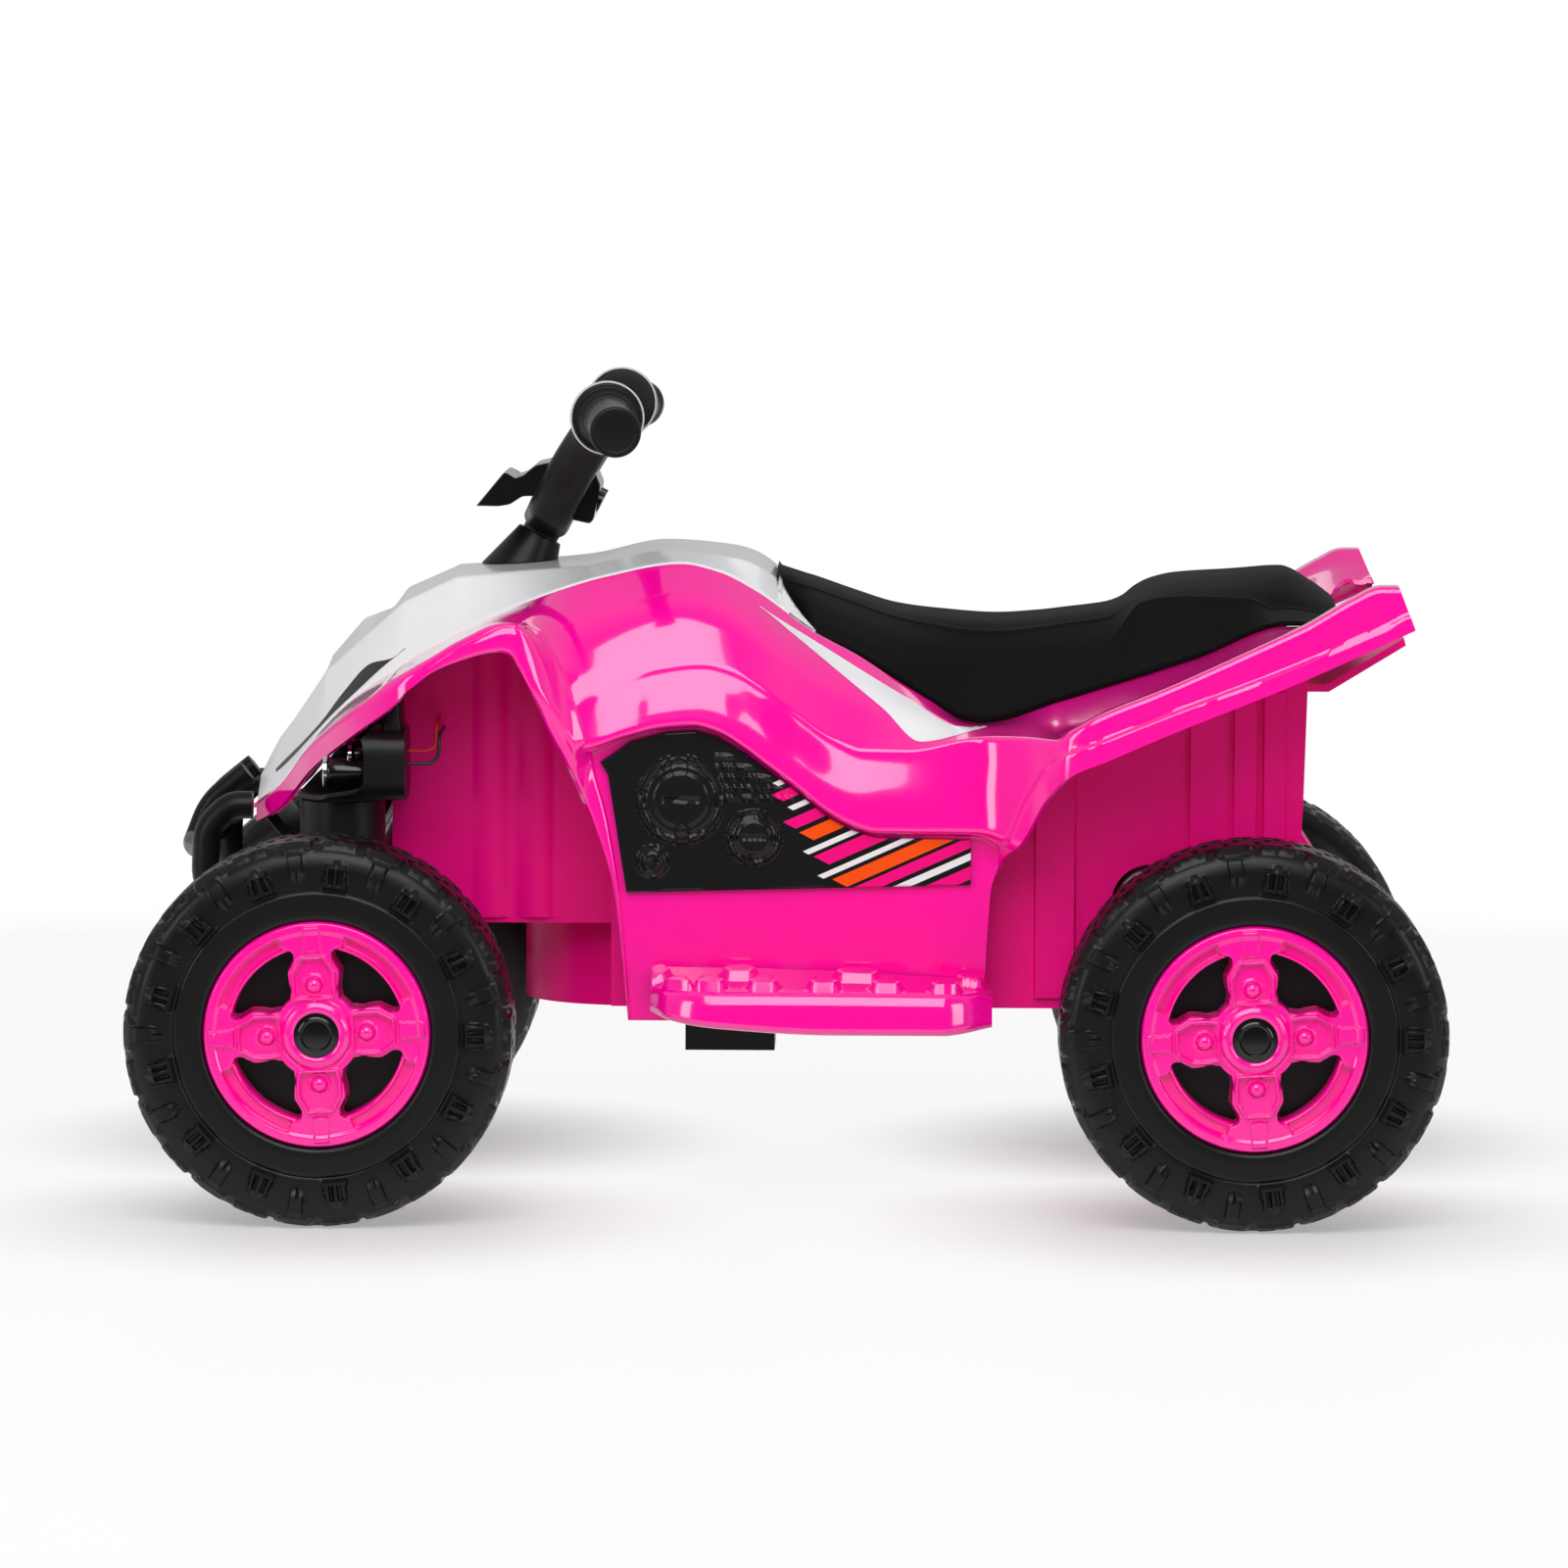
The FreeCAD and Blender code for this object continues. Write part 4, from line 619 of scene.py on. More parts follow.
@dataclass
class BodyShell:
    """The pink body and the white cowl, parted along one seam.

    Rails run from nose to tail as (x, y, z); a section joins them from the middle outwards and down to the
    wheel openings. Beside each opening the skin swells into a rim, written as (x, height, width). Spans are
    places along the bike between which a form comes up or fades; rows count the section's points from the
    middle.
    """

    centre: Rail = (
        (-290, 0, 228), (-282, 0, 244), (-256, 0, 277), (-253, 0, 289), (-235, 0, 310), (-219, 0, 316),
        (-211, 0, 327), (-182, 0, 340), (-112, 0, 344), (-70, 0, 352), (-40, 0, 350), (-8, 0, 338),
        (-3, 0, 300), (14, 0, 290))
    shoulder: Rail = (
        (-290, 30, 226), (-282, 34, 241), (-253, 44, 284), (-211, 52, 322), (-182, 56, 336),
        (-112, 60, 343), (-70, 62, 351), (-40, 62, 349), (-8, 58, 336), (-3, 58, 302), (30, 60, 272),
        (60, 62, 256), (100, 64, 247), (150, 66, 263), (270, 66, 307), (330, 66, 329))
    seam: Rail = (
        (-290, 56, 214), (-278, 66, 223), (-255, 78, 253), (-237, 84, 271), (-205, 90, 293),
        (-181, 92, 307), (-152, 94, 321), (-98, 98, 340), (-58, 100, 347), (-39, 99, 343), (-19, 97, 333),
        (12, 93, 311), (38, 92, 297), (58, 92, 284), (76, 93, 273), (95, 94, 262), (104, 94, 261),
        (146, 95, 273), (219, 96, 296), (268, 96, 314), (330, 130, 313))
    crease: Rail = (
        (-290, 63, 212), (-278, 76, 222), (-255, 108, 250.5), (-230, 140, 271.5), (-200, 160, 291.5),
        (-175, 164, 308), (-146, 165, 319), (-142, 164, 318), (-136, 161, 310), (-131, 158, 300),
        (-126, 155, 288), (-121, 152, 277), (-117, 150, 274), (-113, 149, 276), (-93, 143, 285),
        (-70, 142, 293), (-46, 142, 296), (-29, 142, 292), (-15, 142, 284), (5, 141, 269), (24, 141, 256),
        (40, 142, 250), (63, 143, 250), (101, 148, 257), (125, 162, 258), (141, 176, 258), (150, 183, 264),
        (162, 187, 271), (198, 188, 286), (268, 188, 318), (318, 188, 341), (330, 188, 341))
    band: Rail = (
        (-290, 64, 190), (-278, 77, 196), (-255, 109, 220), (-230, 141, 240), (-200, 161, 262),
        (-146, 166, 285), (-132, 163, 279), (-119, 156, 263), (-113, 153, 250), (-105, 151, 251),
        (-86, 150, 257), (-65, 152, 262), (-50, 152, 263), (-38, 152, 260), (-23, 151, 251),
        (-15, 151, 245), (5, 150, 230), (21, 150, 217), (34, 150, 210), (47, 150, 206), (100, 152, 206),
        (125, 166, 200), (150, 184, 220), (166, 188, 232), (330, 188, 300))
    recess: Rail = (
        (-290, 63, 184), (-255, 108, 214), (-200, 160, 254), (-132, 159, 269), (-119, 152, 254),
        (-113, 147, 243), (-105, 140, 247), (-86, 139, 256), (-65, 139, 261), (-50, 139, 262),
        (-38, 139, 259), (-23, 139, 250), (-15, 139, 244), (21, 139, 216), (34, 139, 209), (47, 139, 205),
        (100, 140, 204), (110, 140, 200), (125, 160, 192), (150, 183, 210), (330, 187, 292))
    front_arch: Line2 = (
        (-310, 196), (-290, 203), (-278, 211), (-255, 236), (-230, 257), (-207, 275), (-196, 289),
        (-173, 298), (-154, 303), (-147, 301), (-141, 292), (-129, 266), (-113, 234), (-101, 202),
        (-93, 174), (-85, 104))
    flange_in: Line2 = (
        (-205, 283.5), (-190, 295), (-175, 305.8), (-162, 312.2), (-150, 316.8), (-141, 317.2),
        (-132.6, 313.6), (-125.6, 305.0), (-120, 294.6), (-113, 276.6), (-106, 254.3), (-102, 235),
        (-96.6, 214.8), (-89.5, 172.3), (-83.5, 106))
    flange_out: Line2 = (
        (-202, 281.4), (-187, 292.5), (-173, 298), (-161, 301.4), (-152, 302.7), (-147, 301), (-143, 295),
        (-138, 285.5), (-134, 276.8), (-126.5, 261), (-117, 242), (-111, 228.7), (-103.5, 208.7),
        (-92, 170), (-85.2, 104.6))
    flange_lift: Line2 = (
        (0, -0.5), (0.05, 0.3), (0.14, 1.4), (0.5, 2.3), (0.9, 2.0), (0.97, 1.4), (1.0, 0.4))
    flange_fold: float = 4.0
    rear_arch: Line2 = (
        (104, 104), (109, 178), (127, 206), (138, 226), (152, 241), (166, 247), (198, 261), (269, 290),
        (345, 325))
    panel_bottom: float = 104.0
    wall: float = 2.6
    swell: Line2 = (
        (-290, 0), (-230, 0), (-185, 0), (-140, 3.6), (-60, 7), (60, 5), (110, 2), (150, 0), (330, 0))
    cowl_tail: Line2 = ((-7, 0), (-6, 1), (-4, 58), (14, 92))
    tail_slant: Line2 = ((320.5, 343), (331, 316))
    tail_notch: Line2 = ((290, 60), (297, 62), (298, 100), (316, 146), (330, 146))
    horn: Line2 = ((-8, 339), (-6.5, 336.5), (5.7, 319.3), (14, 310.2))
    wedge_top: Line2 = (
        (-17, 325), (-13.6, 322.6), (25, 298.2), (64, 275), (90, 261.6), (103, 260.9), (106, 261))
    wedge_low: Line2 = (
        (-17, 324.6), (-13, 321.8), (0, 311), (31.8, 285.4), (51, 270.3), (70.4, 254.3), (103, 260.6),
        (106, 260.9))
    stripe_top: Line2 = ((-282, 229), (-253, 259.5), (-242, 274.3), (-227, 290), (-215, 293.5), (-208, 299))
    stripe_low: Line2 = (
        (-282, 227.5), (-276, 232.7), (-257, 252.8), (-248, 262.4), (-232, 277.7), (-221, 288),
        (-208, 298.6))
    station_runs: Rail = (
        (-290, 330.1, 2.0), (-258, -250, 0.75), (-160, -92, 1.0), (-96, -84, 0.5), (102, 112, 0.5),
        (112, 170, 1.0), (-9, -2, 0.5))
    soft_width: int = 10
    corner_spans: Line2 = ((-165, -150), (-75, -90))
    rail_span: Span = (125, 170)
    deck_span: Span = (10, 30)
    ledge_spans: Line2 = ((-98, -72), (112, 92))
    crest_span: Span = (-110, -135)
    cowl_fold_span: Span = (-180, -120)
    seam_tuck: Span = (0.0, -4.0)
    cowl_inset: Span = (-0.7, 0.3)
    rail_channel: Span = (-24.0, -7.0)
    rail_inner: Span = (-13.0, 0.5)
    ledge_drop: Span = (0.8, -5.5)
    ridge_in: float = 2.4
    skirt_low: float = 100.0
    front_rim: Rail = ((-290, 0.8, 6), (-230, 1.8, 11), (-205, 1.8, 11), (-180, 0, 12), (-85, 0, 3))
    rear_rim: Rail = (
        (104, 0, 2), (109, 0.3, 3), (127, 1.6, 8), (150, 2.4, 11), (200, 2.4, 10), (330, 1.8, 8))
    rim_samples: int = 500
    rim_reach: float = 20.0
    rim_edge: float = 1.3
    rim_from: Span = (80, 110)
    strip_row: int = 7
    strip_heights: Point3 = (100.0, 345.0, 0.5)
    strip_steps: int = 280
    strip_window: int = 19
    lip_row: int = 36
    wedge_rows: tuple[int, int] = (3, 44)
    stripe_rows: tuple[int, int] = (13, 34)
    film_lift: float = 0.2
    film_lines: int = 7
    horn_start: float = -7.0
    tail_run: Span = (300.0, 330.0)

    def stations(self) -> Array:
        """Places along the bike: even steps, closer where an opening's edge is steep."""
        parts = [np.arange(*run) for run in self.station_runs]
        return np.unique(np.round(np.concatenate(parts), 3)) * MM

    @staticmethod
    def fade(place: Array, *spans: Span) -> Array:
        """Product of smooth steps, one for each span in millimetres."""
        return np.prod([ease(low * MM, high * MM, place) for low, high in spans], axis=0)

    @staticmethod
    def rail(points: Rail, x: Array) -> Array:
        """A rail's (y, z) at each station."""
        data = np.array(points, float) * MM
        return np.stack([smooth_line(data[:, 0], data[:, k], x) for k in (1, 2)], axis=1)

    @staticmethod
    def folded_rail(points: Rail, x: Array) -> Array:
        """A rail's (y, z) at each station with its corners kept as folds."""
        data = np.array(points, float) * MM
        return np.stack([np.interp(x, data[:, 0], data[:, k]) for k in (1, 2)], axis=1)

    def softened(self, rail: Array, x: Array) -> Array:
        """A rail averaged along the bike with a bell curve, so that its corners turn slowly.

        Args:
            rail: (y, z) at each station.
            x: the stations.

        Returns:
            The averaged (y, z) at each station.
        """
        even = np.arange(x[0], x[-1], MM)
        reach = 3 * self.soft_width
        bell = np.exp(-0.5 * (np.arange(-reach, reach + 1) / self.soft_width) ** 2)
        bell /= bell.sum()
        lines = [np.pad(np.interp(even, x, rail[:, k]), reach, mode="edge") for k in (0, 1)]
        return np.stack([np.interp(x, even, np.convolve(line, bell, mode="valid")) for line in lines], axis=1)

    def lip(self, x: Array) -> Array:
        """Height of the lower edge: an opening's line, or the panel's bottom between the openings."""
        low = np.where(x < self.front_arch[-1][0] * MM, curve_of(self.front_arch, x), self.panel_bottom * MM)
        return np.where(x > self.rear_arch[0][0] * MM, curve_of(self.rear_arch, x), low)

    def body_rows(self, x: Array) -> Array:
        """The pink skin's section points: seam, swelling, rail edge, crease, ledge, band, recess and panel.

        Args:
            x: stations along the bike.

        Returns:
            (stations, rows, 2) points of the rounded sections.
        """
        shoulder, seam = self.rail(self.shoulder, x), self.rail(self.seam, x)
        crease, band, recess = (self.rail(r, x) for r in (self.crease, self.band, self.recess))
        corner, ledge = (self.fade(x, *spans)[:, None] for spans in (self.corner_spans, self.ledge_spans))
        rail, deck = (self.fade(x, span)[:, None] for span in (self.rail_span, self.deck_span))
        soft = crease + (self.softened(crease, x) - crease) * corner
        step = soft - seam
        out = np.stack([-step[:, 1], step[:, 0]], axis=1) / np.linalg.norm(step, axis=1, keepdims=True)
        middle = (seam + soft) / 2 + out * curve_of(self.swell, x)[:, None]
        first = seam + np.array(self.seam_tuck) * MM * (1 - deck) + (shoulder - seam) * deck
        channel = crease + np.array(self.rail_channel) * MM
        inner = crease + np.array(self.rail_inner) * MM
        middle = middle * (1 - rail) + channel * rail
        edge = (middle + (soft - middle) * 0.7) * (1 - rail) + inner * rail
        below = crease + np.array(self.ledge_drop) * MM * ledge + (band - crease) * 0.3 * (1 - ledge)
        half_way = crease + (band - crease) * 0.56
        ridge = half_way + (band[:, :1] - self.ridge_in * MM - half_way[:, :1]) * ledge * np.array([1.0, 0.0])
        foot = np.stack([recess[:, 0], np.full(len(x), self.skirt_low * MM)], axis=1)
        corners = np.stack([first, seam, middle, edge, crease, below, ridge, band, recess, foot], axis=1)
        crest = 4.0 + 3.0 * self.fade(x, self.crest_span) - 2.8 * ledge[:, 0]
        radii = [2.0, 60.0, 3.5, crest, 3.0, 6.0, 4.0, 1.2]
        return rounded_rows(corners, radii, 5, [1, 9, 8, 5, 2, 3, 4, 1, 8])

    def flange(self, points: Array) -> Array:
        """Raises the skin beside the openings: full height at the edge, easing to nothing a rim's width in.

        Args:
            points: the skin's grid.

        Returns:
            The grid with its rims raised along its normals.
        """
        x, z = points[..., 0], points[..., 2]
        lift = np.zeros(x.shape)
        for sizes, line in ((self.front_rim, self.front_arch), (self.rear_rim, self.rear_arch)):
            places = np.array(sizes, float)
            run = np.linspace(places[0, 0], places[-1, 0], self.rim_samples) * MM
            edge = np.stack([run, curve_of(line, run)], axis=1)
            near = (x > run[0] - self.rim_reach * MM) & (x < run[-1] + self.rim_reach * MM)
            gap = np.hypot(x[near][:, None] - edge[:, 0], z[near][:, None] - edge[:, 1])
            best = gap.argmin(axis=1)
            height, width = (smooth_line(places[:, 0] * MM, places[:, k] * MM, run)[best] for k in (1, 2))
            soft = self.rim_edge * MM
            lift[near] += height * ease(width + soft, width - soft, gap.min(axis=1))
        lift *= self.fade(np.abs(points[..., 1]), self.rim_from)
        return points + grid_normals(points) * lift[..., None]

    def flange_strip(self, points: Array) -> Array:
        """The raised strip along the front opening, from its inner line to the edge, laid on the skin.

        Args:
            points: the skin's grid.

        Returns:
            (along, across, 3) points of the strip, the last row folded inwards.
        """
        heights = np.arange(*self.strip_heights) * MM
        x = points[:, 0, 0]
        outside = points[:, self.strip_row:]
        falling = np.minimum.accumulate(outside[..., 2], axis=1) - np.arange(outside.shape[1]) * TINY
        table = np.stack([np.interp(heights, z[::-1], y[::-1]) for y, z in zip(outside[..., 1], falling)])
        mark = np.arange(len(self.flange_in))
        run = np.linspace(0, mark[-1], self.strip_steps)
        inner, outer = (np.stack([smooth_line(mark, np.array(line)[:, k], run) for k in (0, 1)], axis=1)
                        for line in (self.flange_in, self.flange_out))
        lift = np.array(self.flange_lift)
        share = np.unique(np.concatenate([np.linspace(0, 1, 17), [0.03, 0.05, 0.09, 0.14, 0.97]]))
        flat = (inner[:, None] + (outer - inner)[:, None] * share[:, None]) * MM
        at_x = np.clip(np.searchsorted(x, flat[..., 0]) - 1, 0, len(x) - 2)
        part = np.clip((flat[..., 0] - x[at_x]) / (x[at_x + 1] - x[at_x]), 0, 1)
        level = (flat[..., 1] - heights[0]) / (heights[1] - heights[0])
        at_z = np.clip(level, 0, len(heights) - 1).round().astype(int)
        y = table[at_x, at_z] * (1 - part) + table[at_x + 1, at_z] * part
        bell = np.hanning(self.strip_window) / np.hanning(self.strip_window).sum()
        half = self.strip_window // 2
        padded = np.pad(y, ((half, half), (0, 0)), mode="edge")
        y = sum(weight * padded[k:k + len(y)] for k, weight in enumerate(bell))
        sunk = lift[0, 1]
        grown = ease(0.0, 3.0, run)[:, None]
        rise = (sunk + (smooth_line(lift[:, 0], lift[:, 1], share) - sunk) * grown) * MM
        strip = np.stack([flat[..., 0], y + rise, flat[..., 1] + 0.4 * np.maximum(rise, 0.0)], axis=-1)
        fold = strip[:, -1:] - np.array([0.0, self.flange_fold * MM, 0.0])
        return np.concatenate([strip, fold], axis=1)

    @staticmethod
    def trim_low(points: Array, height: Array, first: int) -> Array:
        """Draws all points below a height, past a row, up to the place where the section crosses that height.

        Args:
            points: the skin's grid.
            height: the height at each station.
            first: the row from which it holds.

        Returns:
            The trimmed grid.
        """
        z = points[..., 2]
        under = z < height[:, None]
        under[:, :first] = False
        at = np.where(under.any(axis=1), under.argmax(axis=1), z.shape[1] - 1)
        row = np.arange(len(z))
        high, low = points[row, at - 1], points[row, at]
        share = np.clip((high[:, 2] - height) / np.maximum(high[:, 2] - low[:, 2], TINY), 0, 1)
        cut = high + (low - high) * share[:, None]
        past = np.arange(z.shape[1])[None, :] >= at[:, None]
        return np.where(past[..., None], cut[:, None], points)

    @staticmethod
    def trim_inside(points: Array, least: Array) -> Array:
        """Draws all points nearer the middle than a line out to that line.

        Args:
            points: the skin's grid.
            least: the line's distance from the middle at each station.

        Returns:
            The trimmed grid.
        """
        y = points[..., 1]
        at = np.clip((y < least[:, None]).sum(axis=1), 1, y.shape[1] - 1)
        row = np.arange(len(y))
        low, high = points[row, at - 1], points[row, at]
        share = np.clip((least - low[:, 1]) / np.maximum(high[:, 1] - low[:, 1], TINY), 0, 1)
        cut = low + (high - low) * share[:, None]
        before = np.arange(y.shape[1])[None, :] < at[:, None]
        active = before & (y[:, :1] < least[:, None])
        return np.where(active[..., None], cut[:, None], points)

    def raise_horn(self, points: Array, tail: Array) -> Array:
        """Lifts the cowl's tails beside the seat: from the seam up to the horn's line at their inner edge.

        Args:
            points: the cowl's grid, trimmed to its tail line.
            tail: the tail line's distance from the middle at each station.

        Returns:
            The grid with its tails raised.
        """
        x = points[:, 0, 0]
        seam = self.rail(self.seam, x)
        share = (seam[:, :1] - points[..., 1]) / (seam[:, 0] - tail)[:, None]
        rise = (curve_of(self.horn, x)[:, None] - seam[:, 1:]) * np.clip(2.2 * share, 0.0, 1.0)
        height = seam[:, 1:] + rise
        behind = ((x > self.horn_start * MM)[:, None] & (share > 0.03))[..., None]
        return np.where(behind, np.concatenate([points[..., :2], height[..., None]], axis=-1), points)

    def slant(self, points: Array) -> Array:
        """Draws the tail's end to a slant: the farther up, the shorter.

        Args:
            points: the skin's grid.

        Returns:
            The grid with its last stations drawn forwards.
        """
        x, z = points[..., 0], points[..., 2]
        (high_x, high_z), (low_x, low_z) = self.tail_slant
        end = (low_x + (high_x - low_x) * (z / MM - low_z) / (high_z - low_z)) * MM
        start, full = self.tail_run[0] * MM, self.tail_run[1] * MM
        moved = start + (x - start) * (np.minimum(end, full) - start) / (full - start)
        return np.concatenate([np.where(x > start, moved, x)[..., None], points[..., 1:]], axis=-1)

    def shell(self, skin: Skin, points: Array, normal: Array) -> None:
        """Adds the outer grid, a coarser inner one a wall's thickness behind it, and strips that join them.

        Args:
            skin: the mesh that they join.
            points: the outer grid.
            normal: its normals.
        """
        inside = points - normal * self.wall * MM
        skin.grid(points)
        skin.grid(inside[::3, ::3], flip=True)
        skin.grid(np.stack([points[:, -1], inside[:, -1]], axis=1))
        skin.grid(np.stack([points[:, 0], inside[:, 0]], axis=1), flip=True)
        skin.grid(np.stack([points[0], inside[0]], axis=0), flip=True)
        skin.grid(np.stack([points[-1], inside[-1]], axis=0))

    def pink_grid(self) -> Array:
        """The pink skin of the right side, before it is trimmed to the openings."""
        x = self.stations()
        return self.flange(along_bike(x, self.body_rows(x)))

    def white_grid(self) -> Array:
        """The cowl's skin of the right side: middle, shoulder fold, seam and a lip turned down into the seam.

        Returns:
            The grid from the nose to the cowl's tail.
        """
        x = self.stations()
        x = x[x <= (self.centre[-1][0] + 0.01) * MM]
        front = (1 - self.fade(x, self.cowl_fold_span))[:, None]
        centre, shoulder = (self.rail(r, x) * (1 - front) + self.folded_rail(r, x) * front
                            for r in (self.centre, self.shoulder))
        edge = self.rail(self.seam, x) + np.array(self.cowl_inset) * MM
        corners = np.stack([centre, shoulder, edge, edge + np.array(self.seam_tuck) * MM], axis=1)
        return along_bike(x, rounded_rows(corners, [2.5, 1.6], 6, [12, 12, 1]))

    def decal(self, name: str, points: Array, low: Line2, high: Line2, rows: tuple[int, int]) -> Piece:
        """A thin film on the skin between two lines of the side view, read from the grid by height.

        Args:
            name: the object's name.
            points: the skin's grid.
            low: lower edge in (x, z).
            high: upper edge in (x, z).
            rows: first and last row of the grid that the film may lie on.

        Returns:
            The film on both sides of the bike.
        """
        span = (points + grid_normals(points) * self.film_lift * MM)[:, slice(*rows)]
        inside = (span[:, 0, 0] >= low[0][0] * MM) & (span[:, 0, 0] <= low[-1][0] * MM)
        span = span[inside]
        x = span[:, 0, 0]
        row = np.arange(len(x))
        lines = []
        for share in np.linspace(0, 1, self.film_lines):
            height = curve_of(low, x) * (1 - share) + curve_of(high, x) * share
            at = np.clip((span[..., 2] > height[:, None]).sum(axis=1), 1, span.shape[1] - 1)
            above, below = span[row, at - 1], span[row, at]
            t = np.clip((above[:, 2] - height) / np.maximum(above[:, 2] - below[:, 2], TINY), 0, 1)
            lines.append(above + (below - above) * t[:, None])
        skin = Skin(name)
        skin.grid(np.stack(lines[::-1], axis=1))
        skin.mirror()
        return skin.build()

    def build(self) -> None:
        """Makes the body, the cowl and their two films."""
        pink = self.pink_grid()
        x = pink[:, 0, 0]
        normal = grid_normals(pink)
        trimmed = self.trim_low(pink, self.lip(x), self.lip_row)
        notch = np.where(x > self.tail_notch[0][0] * MM, curve_of(self.tail_notch, x), 0.0)
        trimmed = self.slant(self.trim_inside(trimmed, notch))
        body = Skin("body_skin")
        self.shell(body, trimmed, normal)
        share = np.linspace(0, 1, trimmed.shape[1])[:, None]
        end = trimmed[-1]
        chord = end[0] + (end[-1] - end[0]) * share
        body.grid(np.stack([end, chord], axis=0))
        body.grid(self.flange_strip(pink))
        body.mirror()
        piece = body.build()
        PINK.dress(piece)
        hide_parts("upper_body")
        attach(piece, "chassis")
        white = self.white_grid()
        behind = white[:, 0, 0] > self.horn_start * MM
        tail = np.where(behind, curve_of(self.cowl_tail, white[:, 0, 0]), 0.0)
        cowl = Skin("cowl_skin")
        self.shell(cowl, self.raise_horn(self.trim_inside(white, tail), tail), grid_normals(white))
        cowl.mirror()
        piece = cowl.build(14.0)
        WHITE.dress(piece)
        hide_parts("front_cowl")
        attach(piece, "chassis")
        wedge = self.decal("seat_wedge_film", pink, self.wedge_low, self.wedge_top, self.wedge_rows)
        WHITE.dress(wedge)
        stripe = self.decal("nose_stripe_film", white, self.stripe_low, self.stripe_top, self.stripe_rows)
        GLOSS_BLACK.dress(stripe)
        for film in (wedge, stripe):
            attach(film, "chassis")
        LOG.info("body shell, cowl and films")


@dataclass
class Seat:
    """The moulded seat: a crowned section along the deck, wide at the thighs and stepped up at the back."""

    shell: BodyShell
    top: Line2 = (
        (-7.5, 341), (14, 334), (34, 327), (58, 320), (82, 317), (112, 315), (136, 316.5), (150, 318.2),
        (174, 321.4), (183, 324), (190, 329.6), (197, 333.6), (211, 337.2), (240, 339.5), (267, 341.6),
        (285, 333), (296, 325))
    edge: Line2 = ((-7.5, 46), (-3, 55), (14, 86), (34, 90), (99, 92), (219, 94), (268, 93), (296, 86))
    crown: Line2 = ((0, 0), (0.35, 0.06), (0.65, 0.30), (0.88, 0.64), (1.0, 0.90))
    bolster: Line2 = ((0, 0), (0.3, 0.14), (0.6, 0.56), (0.76, 1.0))
    fold: float = 0.76
    fold_line: Line2 = (
        (150, 317.8), (174, 320.4), (183, 322.4), (198, 326.6), (212, 327.7), (246, 326.8), (261, 320.5),
        (268, 314), (296, 306))
    fold_bead: float = 0.6
    lip: float = 0.5
    lip_bead: float = 0.6
    fold_start: Span = (170.0, 190.0)
    lift: float = 0.6

    def build(self) -> None:
        """Height falls from the top line to the deck by the crown's share; the ends close on the middle."""
        runs = (np.arange(-7.5, 16, 0.75), np.arange(16, 280, 2.5), np.arange(280, 296.1, 1.0))
        x = np.concatenate(runs) * MM
        half, top = curve_of(self.edge, x), curve_of(self.top, x)
        shoulder, seam = self.shell.rail(self.shell.shoulder, x), self.shell.rail(self.shell.seam, x)
        share = (half - shoulder[:, 0]) / (seam[:, 0] - shoulder[:, 0])
        low = shoulder[:, 1] + (seam[:, 1] - shoulder[:, 1]) * share + self.lift * MM
        crown, bolster = np.array(self.crown), np.array(self.bolster)
        u = np.unique(np.concatenate([
            np.sin(np.linspace(0, math.pi / 2, 34)), self.fold + np.linspace(-0.03, 0.03, 9),
            self.lip + np.linspace(-0.03, 0.03, 7)]))
        drop = smooth_line(crown[:, 0], crown[:, 1], u)
        fold_drop = np.clip((top - curve_of(self.fold_line, x)) / (top - low), 0.03, 0.7)[:, None]
        edge_drop = fold_drop + (self.crown[-1][1] - fold_drop) * (u - self.fold) / (1 - self.fold)
        folded = np.where(u < self.fold, fold_drop * smooth_line(bolster[:, 0], bolster[:, 1], u), edge_drop)
        back = ease(self.fold_start[0] * MM, self.fold_start[1] * MM, x)[:, None]
        bead = self.fold_bead * MM * ease(0.018, 0.004, np.abs(u - self.fold)) * back
        bead = bead + self.lip_bead * MM * ease(0.03, 0.008, np.abs(u - self.lip)) * (1 - back)
        y = half[:, None] * u
        z = top[:, None] - (top - low)[:, None] * (drop * (1 - back) + folded * back) + bead
        skirt = np.stack([low + (z[:, -1] - low) * 0.4, low, low], axis=1)
        wide = np.stack([half, half - 1.0 * MM, half * 0], axis=1)
        rows = np.stack([np.concatenate([y, wide], axis=1), np.concatenate([z, skirt], axis=1)], axis=2)
        points = along_bike(x, rows)
        flat = points * np.array([1.0, 0.0, 1.0])
        points = np.concatenate([flat[:1], points, flat[-1:]])
        skin = Skin("seat_moulding")
        skin.grid(points)
        skin.mirror()
        piece = skin.build(50.0)
        SEAT_BLACK.dress(piece)
        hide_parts("seat")
        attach(piece, "chassis")
        LOG.info("seat")


